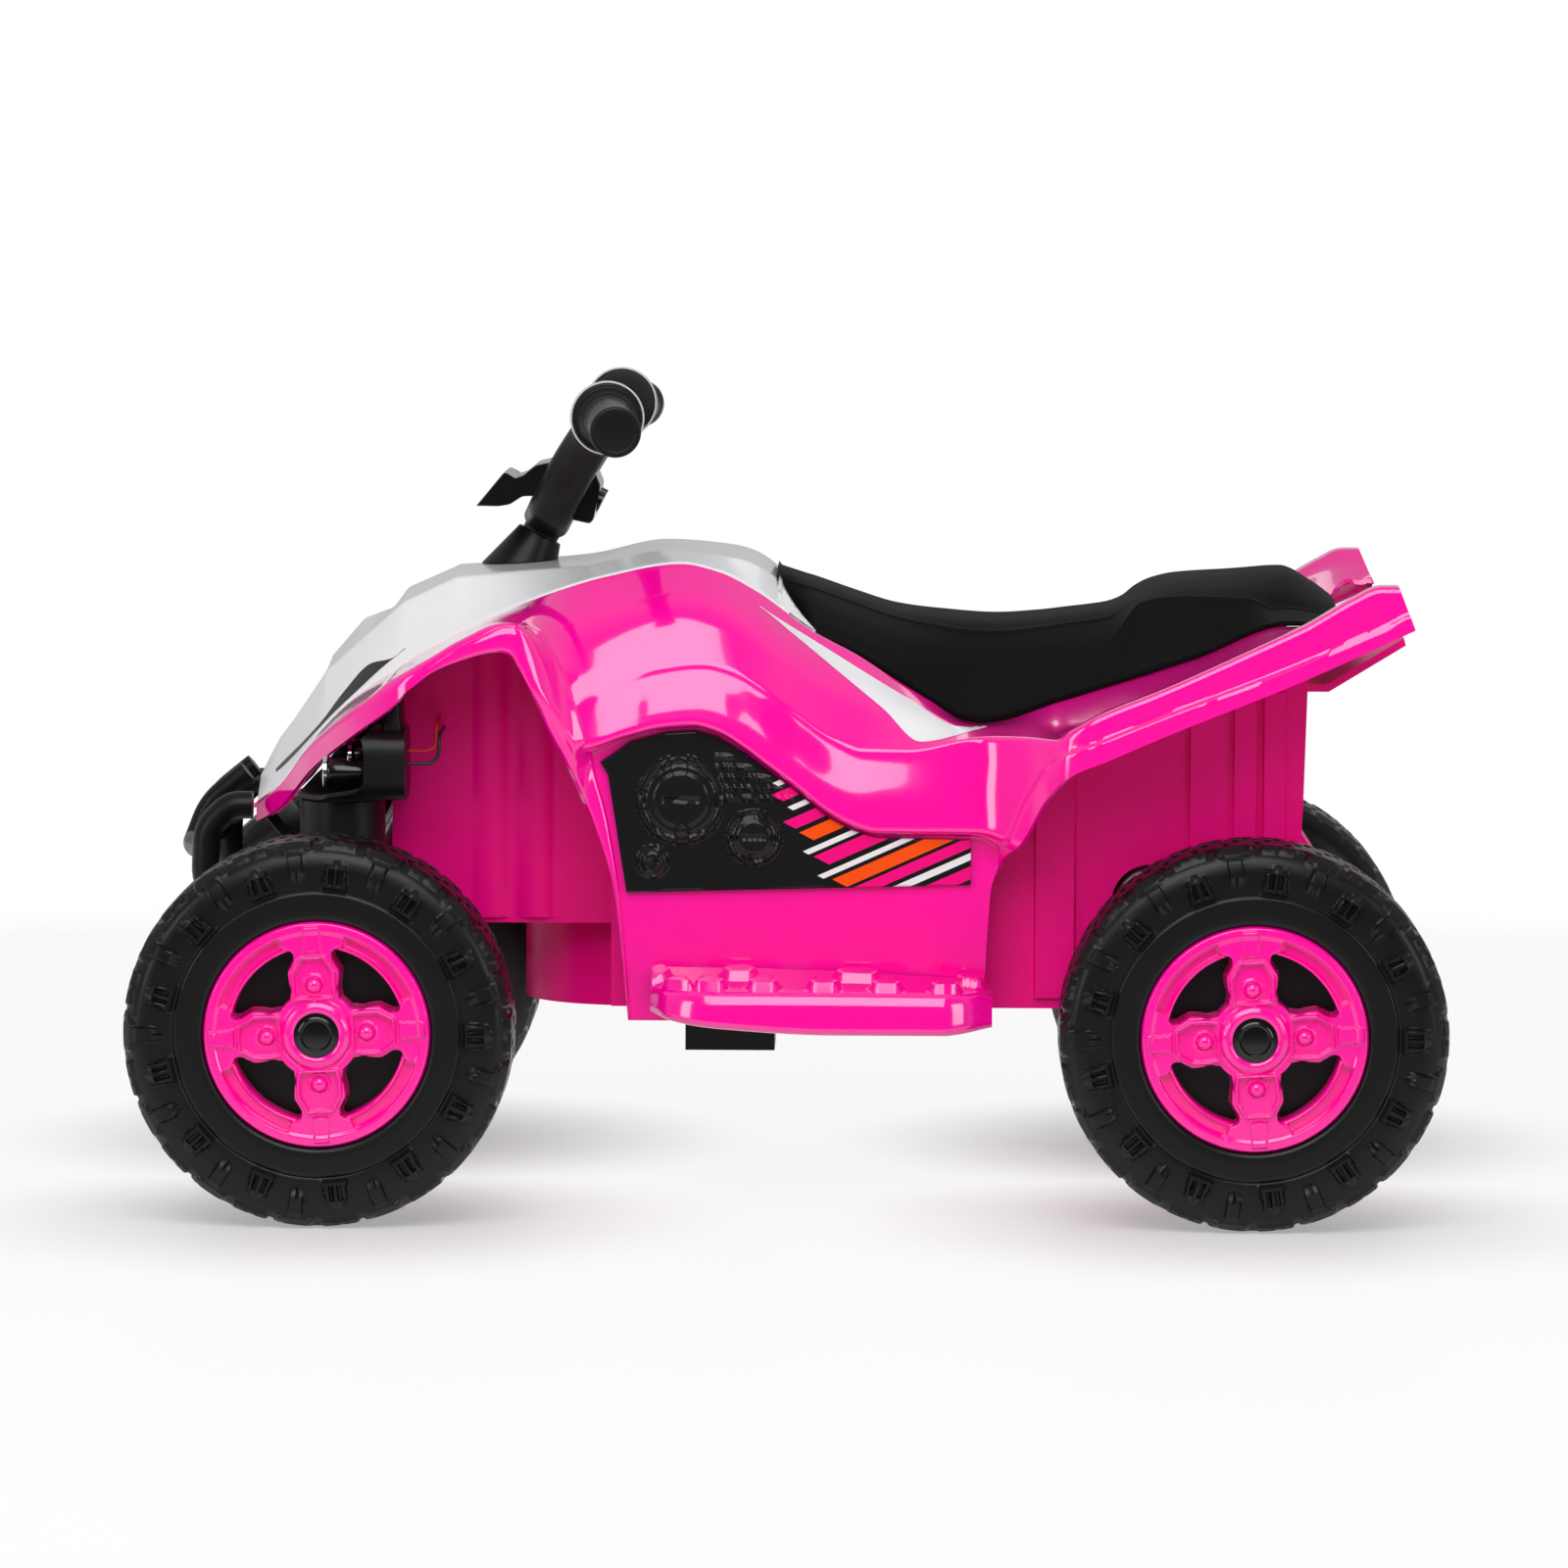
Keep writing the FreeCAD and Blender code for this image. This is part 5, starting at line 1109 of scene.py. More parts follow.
@dataclass
class Wheel:
    """One wheel: blow-moulded tyre with side lugs, spoked cover with bolts, and a plain centre cap.

    Points are polar: a radius, an angle about the axle and a depth counted inwards from the outer face.
    """

    end: str
    side: Side
    centre_x: float
    axle_height: float = 103.0
    face: float = 210.0
    lug_pairs: int = 13
    spoke_turn_deg: float = 3.0
    profile: Line2 = (
        (5.2, 18), (13, 18), (13, 24), (60.2, 24), (60.2, 6), (62, 4.4), (72, 4.2), (74.6, 4.2),
        (77.4, 3.8), (84, 3.6), (91, 3.9), (96, 5.4), (99, 8.4), (101.4, 12.8), (102, 19), (102, 56),
        (101, 62), (97, 68), (90, 72.5), (80, 74.6), (62, 75), (41, 75), (39, 71), (30, 64), (13, 62),
        (13, 76), (5.2, 76))
    fine_steps: int = 720
    coarse_share: int = 5
    spoke_width: Line2 = (
        (0, 14), (20, 13.2), (24, 12.6), (28, 13.4), (33, 13.8), (37, 12.0), (40.5, 10.4), (43, 10.6),
        (46.5, 14.6), (50, 16.0), (54, 17.2), (60, 18))
    lug_from: float = 73.0
    lug_height: float = 3.2
    bar_height: float = 3.0
    step_height: float = 1.8
    groove_depth: float = 1.2
    rib_height: float = 1.3
    rib_sink: float = 0.4
    cover_steps: int = 600
    bolt_at: float = 26.3
    bolt_radius: float = 4.3
    hole_depth: float = 22.5
    cap_radius: float = 11.6
    cap_steps: int = 96

    def place(self, radius: Array, depth: Array, turn: Array) -> Array:
        """Polar millimetres to points in the frame."""
        x, z = self.centre_x + radius * np.cos(turn), self.axle_height + radius * np.sin(turn)
        return np.stack([x, self.side.value * (self.face - depth) + 0 * turn, z], axis=-1) * MM

    def lugs(self, radius: Array, depth: Array, turn: Array) -> Array:
        """Height of the lugs: slotted blocks and pointed bars by turns, a stepped shoulder and tread ribs.

        Args:
            radius: distance from the axle in millimetres.
            depth: distance inwards from the outer face.
            turn: angle about the axle.

        Returns:
            Height along the profile's normal in millimetres.
        """
        pitch = 2 * math.pi / self.lug_pairs
        block = np.abs((turn + pitch / 2) % pitch - pitch / 2) * radius
        bar = np.abs(turn % pitch - pitch / 2) * radius
        side = ease(16.0, 13.0, depth)
        half = 6.6 - 0.12 * (radius - 78.5)
        lug = ease(half + 0.3, half - 0.3, block) * ease(78.2, 78.8, radius)
        lug = lug * ease(91.7 - 0.3 * block, 91.0 - 0.3 * block, radius)
        slot = ease(1.2, 0.8, np.abs(block - 2.3)) * ease(80.0, 80.6, radius) * ease(88.4, 87.8, radius)
        wedge = ease(4.0, 3.4, bar) * ease(83.2 + 0.9 * bar, 83.9 + 0.9 * bar, radius)
        wedge = wedge * ease(96.2, 95.5, radius)
        zig = np.abs((turn * self.lug_pairs / math.pi) % 2 - 1)
        step = ease(96.4 + 2.2 * zig, 97.0 + 2.2 * zig, radius) * ease(0.08, 0.14, np.abs(zig - 0.5))
        ring = ease(0.8, 0.3, np.abs(radius - 76.2))
        tread = ease(9.0, 13.0, depth) * ease(66.0, 62.0, depth)
        row = (depth - 37.5) / 12.0
        shift = (turn * self.lug_pairs * 3 / math.pi + np.floor(row) * 0.7) % 2 - 1
        knob = ease(0.9, 0.75, np.abs(shift)) * ease(0.46, 0.40, np.abs(row - np.floor(row) - 0.5))
        ribs = tread * (self.rib_height * knob - self.rib_sink)
        raised = self.lug_height * lug * (1 - 0.8 * slot) + self.bar_height * wedge + self.step_height * step
        return side * (raised - self.groove_depth * ring) + ribs

    def tyre(self) -> Piece:
        """The profile turned about the axle, each point moved along the profile's normal by the lug height.

        The lugs and the tread have a fine ring of points; the plain rest has every fifth of them, and a
        row of the fine ring drawn to its nearest coarse point joins the two.

        Returns:
            The tyre's object.
        """
        corners = np.array(self.profile)[None] * MM
        radii = [1, 1, 1, 1.5, 1.5, 2, 1.2, 2.5, 4, 4, 4, 3, 3, 4, 4, 4, 4, 4, 5, 5, 2, 2, 4, 1, 1]
        runs = [0, 0, 2, 3, 0, 1, 1, 3, 9, 10, 7, 5, 4, 5, 26, 3, 3, 3, 3, 3, 1, 1, 2, 2, 1, 1]
        line = rounded_rows(corners, radii, 2, runs)[0] / MM
        way = np.gradient(line, axis=0)
        normal = np.stack([way[:, 1], -way[:, 0]], axis=1)
        normal /= np.maximum(np.linalg.norm(normal, axis=1, keepdims=True), TINY)
        turn = full_turn(self.fine_steps)[None]
        height = self.lugs(line[:, :1], line[:, 1:], turn) * (line[:, :1] > self.lug_from)
        radius = line[:, :1] + normal[:, :1] * height
        depth = line[:, 1:] + normal[:, 1:] * height
        points = self.place(radius, depth, np.broadcast_to(turn, radius.shape))
        lugged = np.nonzero(np.abs(height).max(axis=1) > 0)[0]
        first, last = lugged[0] - 1, lugged[-1] + 1
        coarse = np.round(np.arange(self.fine_steps) / self.coarse_share).astype(int)
        nearest = coarse * self.coarse_share % self.fine_steps
        flip = self.side is Side.RIGHT
        skin = Skin(f"tyre_skin_{self.end}_{self.side.name.lower()}")
        skin.grid(points[first:last + 1], flip=flip, wrap=True)
        skin.grid(np.stack([points[first - 1][nearest], points[first]]), flip=flip, wrap=True)
        skin.grid(np.stack([points[last], points[last + 1][nearest]]), flip=flip, wrap=True)
        skin.grid(points[:first, ::self.coarse_share], flip=flip, wrap=True)
        skin.grid(points[last + 1:, ::self.coarse_share], flip=flip, wrap=True)
        return skin.build(45.0)

    def cover(self) -> Piece:
        """A polar height field: troughed rim, four spokes with shields, pads and bolts, and a hub ring.

        Returns:
            The cover's object.
        """
        radius = np.arange(11.9, 60.3, 0.4)[:, None]
        turn = full_turn(self.cover_steps)[None]
        local = (turn - math.radians(self.spoke_turn_deg) + math.pi / 4) % (math.pi / 2) - math.pi / 4
        along, across = radius * np.cos(local), np.abs(radius * np.sin(local))
        widths = np.array(self.spoke_width)
        half = smooth_line(widths[:, 0], widths[:, 1], along)
        spoke = ease(half + 0.7, half - 0.5, across)
        rim = ease(45.4, 46.4, radius)
        solid = np.maximum(np.maximum(spoke, rim), ease(23.6, 22.6, radius))
        trough = ease(47.2, 48.6, radius) * ease(54.6, 53.0, radius)
        trough = trough * (1 - ease(half + 2.2, half + 0.8, across))
        depth = 5.2 - 1.0 * ease(53.0, 55.0, radius) + 2.4 * ease(58.6, 60.2, radius) + 4.6 * trough
        depth = depth + 1.6 * ease(48.4, 46.8, radius) * rim * (1 - spoke)
        shield = 10.4 - 0.55 * np.maximum(along - 33, 0) - 0.2 * np.maximum(24 - along, 0)
        inner = ease(shield, shield - 0.9, across) * ease(19.5, 20.5, along) * ease(40.6, 39.7, along)
        frame_line = ease(shield + 1.9, shield + 0.9, across) * ease(18.0, 19.0, along)
        frame_line = frame_line * ease(42.0, 41.2, along)
        pad = ease(5.0, 4.4, across + 0.06 * (along - 43)) * ease(43.4, 44.2, along) * ease(57.6, 56.8, along)
        depth = depth - 2.2 * frame_line + 3.6 * inner - 1.8 * pad
        bolt = np.hypot(along - self.bolt_at, across)
        dome = np.sqrt(np.maximum(0.0, 1 - (bolt / self.bolt_radius) ** 2))
        depth = depth - 4.0 * dome - 0.8 * ease(6.2, 5.6, bolt) * ease(self.bolt_radius, 4.8, bolt)
        hub = ease(19.4, 16.2, radius)
        hub_depth = 2.0 + 0.6 * ease(13.4, 12.2, radius) + 0.8 * ease(15.0, 16.4, radius)
        depth = depth * (1 - hub) + hub_depth * hub
        depth = depth * solid + self.hole_depth * (1 - solid)
        hole = solid < 0.03
        closed = np.hstack([hole, hole[:, :1]])
        keep = ~(closed[:-1, :-1] & closed[1:, :-1] & closed[1:, 1:] & closed[:-1, 1:])
        grid = self.place(np.broadcast_to(radius, depth.shape), depth, np.broadcast_to(turn, depth.shape))
        rear = self.place(radius[-1:] + 0 * turn, np.full(turn.shape, 12.0), turn)
        skin = Skin(f"cover_skin_{self.end}_{self.side.name.lower()}")
        skin.grid(grid, flip=self.side is Side.RIGHT, wrap=True, keep=keep)
        skin.grid(np.concatenate([grid[-1:], rear]), flip=self.side is Side.RIGHT, wrap=True)
        return skin.build(60.0)

    def cap(self) -> Piece:
        """A low dome with one raised ring, turned about the axle.

        Returns:
            The cap's object.
        """
        radius = np.concatenate([np.linspace(0.0, self.cap_radius, 30), [11.7, 11.7]])[:, None]
        dome = 1 - (np.minimum(radius, self.cap_radius) / self.cap_radius) ** 2
        depth = 2.4 - 0.9 * dome - 0.35 * ease(0.9, 0.4, np.abs(radius - 8.6))
        depth[-2:] = [[2.9], [5.0]]
        turn = full_turn(self.cap_steps)[None]
        skin = Skin(f"cap_skin_{self.end}_{self.side.name.lower()}")
        grid = self.place(radius + 0 * turn, depth + 0 * turn, turn + 0 * radius)
        skin.grid(grid, flip=self.side is Side.RIGHT, wrap=True)
        return skin.build(50.0)

    def build(self) -> None:
        """Makes the three pieces and hangs them on the wheel's body."""
        key = f"{self.end}_{self.side.name.lower()}"
        pieces = ((self.tyre(), TYRE_BLACK, "tyre"), (self.cover(), PINK, "wheel_cover"),
                  (self.cap(), GLOSS_BLACK, "hub_cap"))
        for piece, finish, node in pieces:
            finish.dress(piece)
            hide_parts(f"{node}_{key}")
            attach(piece, f"wheel_{key}")
        LOG.info("wheel %s", key)


@dataclass
class HandGrip:
    """One grip turned on its axis: flange with a pale ring, bellows, ribbed sleeve and a rounded end knob."""

    side: Side
    boot_top: Point3 = (-137.0, 0.0, 360.0)
    column_up: Point3 = (0.449319, 0.0, 0.893371)
    column_front: Point3 = (-0.893371, 0.0, 0.449319)
    height: float = 75.6
    inner: Span = (-5.6, 110.0)
    outer: Span = (-14.6, 205.0)
    profile: Line2 = (
        (0, 10), (0, 18.2), (0.8, 19), (4.2, 19), (5, 18.2), (5, 16.4), (6.4, 15.4), (8, 15.8), (9.6, 14.2),
        (11.4, 14.6), (13.4, 12.8), (17, 11.8), (84, 11.8), (86, 12.4), (87.4, 13.4), (94, 13.5),
        (95, 12.6), (95, 10.9), (94.4, 10.5), (94.4, 0))
    band: Line2 = ((1.2, 18.8), (1.2, 19.6), (1.6, 19.9), (3.4, 19.9), (3.8, 19.6), (3.8, 18.8))
    steps: int = 96

    def on_column(self, front: float, across: float) -> Array:
        """A point at the grips' height, forwards of the column and to the side."""
        steps = np.array(self.column_up) * self.height + np.array(self.column_front) * front
        return np.array(self.boot_top) + steps + np.array([0.0, across * self.side.value, 0.0])

    def turned(self, name: str, along: Array, radius: Array) -> Piece:
        """Turns a profile about the grip's axis and makes one piece of it.

        Args:
            name: the object's name.
            along: places along the axis in millimetres.
            radius: distance from the axis at each place.

        Returns:
            The turned object.
        """
        start, end = self.on_column(*self.inner), self.on_column(*self.outer)
        axis = (end - start) / np.linalg.norm(end - start)
        over = np.cross(axis, [1.0, 0.0, 0.0])
        over /= np.linalg.norm(over)
        other = np.cross(axis, over)
        turn = full_turn(self.steps)[None, :, None]
        ring = over * np.cos(turn) + other * np.sin(turn)
        skin = Skin(name)
        skin.grid((start + axis * along[:, None, None] + ring * radius[:, None, None]) * MM, wrap=True)
        return skin.build(30.0)

    def build(self) -> None:
        """The black sleeve and its pale ring, both on the steering body."""
        key = self.side.name.lower()
        corners = np.array(self.profile)[None] * MM
        radii = [0.8, 0.6, 0.6, 0.8, 0.5, 0.8, 0.8, 0.8, 0.8, 1.2, 3, 1, 1, 0.8, 0.8, 0.6, 0.3, 0.3]
        runs = [1, 1, 0, 2, 0, 1, 0, 0, 0, 0, 0, 1, 180, 0, 0, 2, 0, 1, 0]
        line = rounded_rows(corners, radii, 3, runs)[0] / MM
        along, radius = line[:, 0], line[:, 1]
        ribs = 0.35 * np.abs(np.sin(along * 0.9)) * ease(18.0, 21.0, along) * ease(83.0, 80.0, along)
        sleeve = self.turned(f"grip_sleeve_{key}", along, radius + ribs)
        BLACK.dress(sleeve)
        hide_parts(f"grip_{key}")
        ring = self.turned(f"grip_band_{key}", *np.array(self.band).T)
        RING_GREY.dress(ring)
        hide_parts("grip_rings")
        for piece in (sleeve, ring):
            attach(piece, "steering")
        LOG.info("grip %s", key)


@dataclass
class HandleBar:
    """The bar: a hub on the column and two arms that spread into a yoke and turn level into the grips."""

    grip: HandGrip
    path: Rail = (
        (-6, 0, 1), (5, 0, 5), (10, 0, 14), (15, 0, 26), (26, 0, 34), (42, -0.5, 40), (60, -2.4, 52),
        (73, -5, 78), (75.6, -5.6, 112))
    half_across: Line2 = ((0, 9.0), (8, 9.4), (12, 10.8), (80, 10.4), (130, 9.6), (170, 9.4))
    half_deep: Line2 = ((0, 10.0), (8, 10.4), (12, 12.8), (80, 12.4), (120, 10.4), (170, 9.4))
    steps: int = 90
    around: int = 48
    square: float = 2.6

    def build(self) -> None:
        """Carries a rounded section along the path of each arm and joins both in one piece."""
        up, front = np.array(self.grip.column_up), np.array(self.grip.column_front)
        foot = np.array(self.grip.boot_top)
        marks = [tuple(foot + up * h + front * f + np.array([0.0, a, 0.0])) for h, f, a in self.path]
        path = spline_path(marks, self.steps)
        run = np.concatenate([[0.0], np.cumsum(np.linalg.norm(np.diff(path, axis=0), axis=1))])
        sizes = np.stack([curve_of(self.half_across, run), curve_of(self.half_deep, run)], axis=1)
        skin = Skin("bar_moulding")
        rings = sweep(path, sizes, self.square, self.around, self.grip.column_front)
        skin.grid(capped(rings), flip=True, wrap=True)
        skin.mirror()
        piece = skin.build(40.0)
        BLACK.dress(piece)
        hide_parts("handlebar")
        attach(piece, "steering")
        LOG.info("handlebar")


@dataclass
class Lamps:
    """The four lamps: a bright dish with a rim, a clear dome before it and a black stem into the pod."""

    places: tuple[tuple[float, float, float, float], ...] = ((-247, 131, 236, 8.8), (-235, 111, 243, 10.6))
    pod_back: float = -207.5
    steps: int = 64

    def build(self) -> None:
        """Turns the three profiles about each lamp's axis."""
        dishes, domes, stems = Skin("lamp_dishes"), Skin("lamp_domes"), Skin("lamp_stems")
        turn = full_turn(self.steps)
        for x, y, z, r in self.places:
            back = self.pod_back - x
            profiles = (
                (dishes, ((0, 2.6), (0.3 * r, 2.4), (0.6 * r, 1.4), (0.8 * r, 0.1), (0.84 * r, -1.3),
                          (0.96 * r, -1.5), (r, -1.1), (r, 0.6), (0.96 * r, 1.1), (0.62 * r, 3.6))),
                (domes, ((0, -1.3), (0.3 * r, -1.2), (0.6 * r, -0.8), (0.8 * r, -0.2), (0.81 * r, 0.0),
                         (0.4 * r, 0.3), (0, 0.4))),
                (stems, ((0.94 * r, 1.2), (0.84 * r, 2.4), (0.80 * r, 9.0), (0.62 * r, 14.0),
                         (0.60 * r, back))),
            )
            for skin, profile in profiles:
                radius, place = np.array(profile, float).T
                ring = np.stack([x + place[:, None] + 0 * turn, y + radius[:, None] * np.cos(turn),
                                 z + radius[:, None] * np.sin(turn)], axis=-1)
                skin.grid(ring * MM, wrap=True)
        dressed = ((dishes, CHROME, ["lamp_bodies"]), (domes, LENS, ["lamp_lenses"]),
                   (stems, GLOSS_BLACK, ["lamp_bodies"]))
        for skin, finish, nodes in dressed:
            skin.mirror()
            piece = skin.build(35.0)
            finish.dress(piece)
            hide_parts(*nodes)
            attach(piece, "chassis")
        LOG.info("lamps")


@dataclass
class LampPod:
    """A lamp pod: a rounded bowl open to the front and the outside, with a neck up to the fender.

    The rim is a rounded rectangle seen from the front; each of its points runs straight back and rounds over
    into the bowl's rear face. The rim slants: it reaches farther forwards the nearer it lies to the bike's
    middle.
    """

    side: Side
    across: Span = (93.0, 147.6)
    upright: Span = (220.6, 260.0)
    roof_gap: float = 4.0
    rear: float = -204.4
    rear_round: float = 12.0
    front_outer: float = -226.0
    front_slant: float = 0.62
    front_least: float = -265.0
    low_reach: float = 16.0
    wall: float = 2.4
    neck: Point3 = (-216.5, -206.5, 275.5)
    neck_rows: Line2 = ((252.0, 0.0), (258.0, 1.6), (264.0, 0.4), (270.0, 0.0))
    neck_middle: float = 120.0
    neck_half: float = 17.0
    neck_steps: int = 48
    neck_square: float = 0.4
    steps: int = 96
    square: float = 0.55
    arch_rise: int = 9

    def rim(self) -> Array:
        """The rim's (y, z) points round a rounded rectangle: a circle drawn out to a square, then scaled."""
        sizes = np.array([self.across, self.upright])
        return sizes.mean(axis=1) + np.diff(sizes)[:, 0] / 2 * squared_circle(self.steps, self.square)

    def bowl(self, shrink: float) -> Array:
        """Rows from the rim back to the middle of the rear face.

        Args:
            shrink: how far the bowl is drawn in, for the inner face of its wall.

        Returns:
            (rows, steps, 3) points in millimetres.
        """
        rim = self.rim()
        middle = rim.mean(axis=0)
        inset = np.array([np.diff(self.across)[0], np.diff(self.upright)[0]]) / 2
        ring = middle + (rim - middle) * (1 - shrink / inset)
        inward = self.across[1] - rim[:, 0]
        low = ease(234.0, 222.0, rim[:, 1]) * ease(0.0, 8.0, inward)
        slanted = self.front_outer - self.front_slant * inward - self.low_reach * low
        arch_x, arch_z = np.array(BodyShell.front_arch[:self.arch_rise]).T
        roof = np.interp(ring[:, 1] + self.roof_gap, arch_z, arch_x)
        front = np.maximum(np.maximum(slanted, self.front_least), roof)
        rear = np.full(self.steps, self.rear - shrink)
        centre = np.broadcast_to(middle, ring.shape)
        lines = [np.column_stack(pair) for pair in ((front, ring), (rear, ring), (rear, centre))]
        return rounded_rows(np.stack(lines, axis=1), [self.rear_round], 7, [8, 3]).transpose(1, 0, 2)

    def build(self) -> None:
        """Outer and inner bowl joined at the rim, and the neck as a tapered block with rounded edges."""
        outer, inner = self.bowl(0.0), self.bowl(self.wall)
        mirror = np.array([1.0, self.side.value, 1.0]) * MM
        flip = self.side is Side.LEFT
        skin = Skin(f"lamp_bowl_{self.side.name.lower()}")
        skin.grid(outer * mirror, flip=not flip, wrap=True)
        skin.grid(inner * mirror, flip=flip, wrap=True)
        skin.grid(np.stack([outer[0], inner[0]]) * mirror, flip=flip, wrap=True)
        shape = squared_circle(self.neck_steps, self.neck_square)
        front, back, top = self.neck
        rows = []
        for height, grow in (*self.neck_rows, (top, -0.6), (top, -20.0)):
            half = np.maximum(np.array([(back - front) / 2, self.neck_half]) + grow, 0.0)
            plan = np.array([(front + back) / 2, self.neck_middle]) + shape * half
            rows.append(np.concatenate([plan, np.full((self.neck_steps, 1), height)], axis=1))
        skin.grid(np.stack(rows) * mirror, flip=flip, wrap=True)
        piece = skin.build(40.0)
        BLACK.dress(piece)
        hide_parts(f"lamp_pod_{self.side.name.lower()}")
        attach(piece, "chassis")
        LOG.info("lamp pod %s", self.side.name.lower())


@dataclass
class DashPod:
    """The dash on the bar: a forward visor with a flat shiny face and a rounded hood behind the bar."""

    visor: Line2 = (
        (-172.4, 373.4), (-157.4, 391.6), (-155.8, 391.8), (-151.4, 388.6), (-146.4, 390.4),
        (-140.0, 395.8), (-132.0, 397.6), (-126.0, 392.0), (-128.0, 382.0), (-140.0, 379.0),
        (-147.0, 378.8), (-154.0, 374.2), (-160.2, 373.2))
    hood: Line2 = (
        (-131.0, 396.0), (-124.0, 397.4), (-113.0, 395.6), (-107.0, 391.0), (-104.4, 384.6),
        (-108.2, 366.0), (-110.4, 363.6), (-121.6, 366.0), (-124.0, 372.0), (-128.0, 384.0))
    visor_half: float = 33.6
    hood_half: float = 27.6
    lip: float = 1.4

    def bar(self, skin: Skin, outline: Line2, half: float) -> None:
        """Adds an outline carried across the bike, its ends rounded over.

        Args:
            skin: the mesh that it joins.
            outline: (x, z) corners, which are rounded.
            half: half its width.
        """
        line = np.array(outline + outline[:1])[None] * MM
        rows = rounded_rows(line, [1.6] * (len(outline) - 1), 4, [3] * len(outline))[0][:-1] / MM
        middle = rows.mean(axis=0)
        share = np.concatenate([[-1.0, -1.0], np.linspace(-1, 1, 25), [1.0, 1.0]])
        ends = np.array([0.0, 0.94, 0.985] + [1.0] * 23 + [0.985, 0.94, 0.0])
        tuck = np.zeros(len(share))
        tuck[[2, -3]] = self.lip * 0.4
        y = half * share - np.sign(share) * tuck
        plan = middle + (rows - middle) * ends[:, None, None]
        points = np.stack([plan[..., 0], np.broadcast_to(y[:, None], plan.shape[:2]), plan[..., 1]], axis=-1)
        skin.grid(points * MM, wrap=True)

    def build(self) -> None:
        """The visor and the hood as one piece on the steering body."""
        skin = Skin("dash_moulding")
        self.bar(skin, self.visor, self.visor_half)
        self.bar(skin, self.hood, self.hood_half)
        piece = skin.build(30.0)
        GLOSS_BLACK.dress(piece)
        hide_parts("dash_pod")
        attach(piece, "steering")
        LOG.info("dash pod")


@dataclass
class FootBoard:
    """A footrest: a board with cut corners in plan, a folded outer face and raised lugs on its tread."""

    side: Side
    top: Line2 = ((-72, 132), (-70, 133), (100, 127), (109, 123))
    outer_top: Line2 = ((-72, 124), (-66, 125.6), (100, 125), (109, 122))
    low: Line2 = ((-72, 113), (-59, 109), (-32, 106), (25, 103), (82, 103), (109, 106))
    reach: Line2 = ((-72, 176), (-64, 188), (-42, 199), (-34, 200.3), (82, 200.3), (92, 197), (109, 184))
    pedal_reach: Line2 = ((-72, 193), (-66, 199.4), (-60, 200.3), (82, 200.3), (92, 197), (109, 184))
    root: float = 140.3
    lug_places: tuple[float, ...] = (-58, -40, -12, 20, 53, 84)
    lug_height: float = 5.0
    pedal_end: float = 8.0
    ear_along: Span = (-20.0, -8.0)
    ear_upright: Span = (127.0, 144.5)
    ear_places: tuple[Span, ...] = ((146.0, 149.0), (191.0, 194.0))

    def lugs(self, x: Array, y: Array) -> Array:
        """Height of the lugs: two staggered rows of tapered blocks, left out where the pedal stands.

        Args:
            x: places along the bike in metres.
            y: places across it.

        Returns:
            Heights in metres.
        """
        height = np.zeros(np.broadcast(x, y).shape)
        for count, place in enumerate(self.lug_places):
            if self.side is Side.RIGHT and place < self.pedal_end:
                continue
            for row, shift in ((186.0, 0.0), (160.0, 14.0 if count % 2 else -12.0)):
                along = np.abs(x / MM - place - shift) + 0.35 * np.abs(y / MM - row)
                block = ease(10.5, 7.0, along) * ease(11.0, 8.5, np.abs(y / MM - row))
                height = np.maximum(height, block)
        return height * self.lug_height * MM

    def ears(self, skin: Skin) -> None:
        """Adds the two upright ears that hold the pedal's pin.

        Args:
            skin: the mesh that they join.
        """
        (x0, x1), (z0, z1) = self.ear_along, self.ear_upright
        for sides in self.ear_places:
            rings = np.array([[(x0, y, z0), (x1, y, z0), (x1, y, z1), (x0, y, z1)] for y in sides])
            skin.grid(capped(rings) * MM, wrap=True)

    def build(self) -> None:
        """Sections from the root over the tread, down the folded face and back underneath, a fan at each end.

        The right board keeps its tread level and its front corner full, because the pedal's box stands in it.
        """
        pedal = self.side is Side.RIGHT
        x = np.unique(np.concatenate([np.arange(-72, 109.1, 1.0), [-71.5, 108.5]])) * MM
        top, low = curve_of(self.top, x), curve_of(self.low, x)
        reach = curve_of(self.pedal_reach if pedal else self.reach, x)
        outer = curve_of(self.top if pedal else self.outer_top, x)
        root = np.full(len(x), self.root * MM)
        section = ((root, top), (reach - 4 * MM, outer), (reach - 1.2 * MM, outer - 6 * MM),
                   (reach, low + 3 * MM), (reach - 3 * MM, low), (root, low))
        corners = np.stack([np.stack(pair, axis=1) for pair in section], axis=1)
        rows = rounded_rows(corners, [3.0, 2.0, 1.2, 1.5], 4, [44, 3, 3, 1, 4])
        points = along_bike(x, rows)
        tread = np.arange(rows.shape[1]) < 46
        fade = ease(0.0, 6 * MM, reach[:, None] - points[..., 1])
        fade = fade * ease(0.0, 3 * MM, points[..., 1] - self.root * MM) * tread
        points[..., 2] += self.lugs(points[..., 0], points[..., 1]) * fade
        middle = points.mean(axis=1, keepdims=True) * np.ones((1, points.shape[1], 1))
        points = np.concatenate([middle[:1], points, middle[-1:]])
        points[..., 1] *= self.side.value
        skin = Skin(f"foot_board_{self.side.name.lower()}")
        skin.grid(points, flip=not pedal)
        if pedal:
            self.ears(skin)
        piece = skin.build(34.0)
        PINK.dress(piece)
        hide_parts(f"footrest_{self.side.name.lower()}")
        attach(piece, "chassis")
        LOG.info("foot board %s", self.side.name.lower())


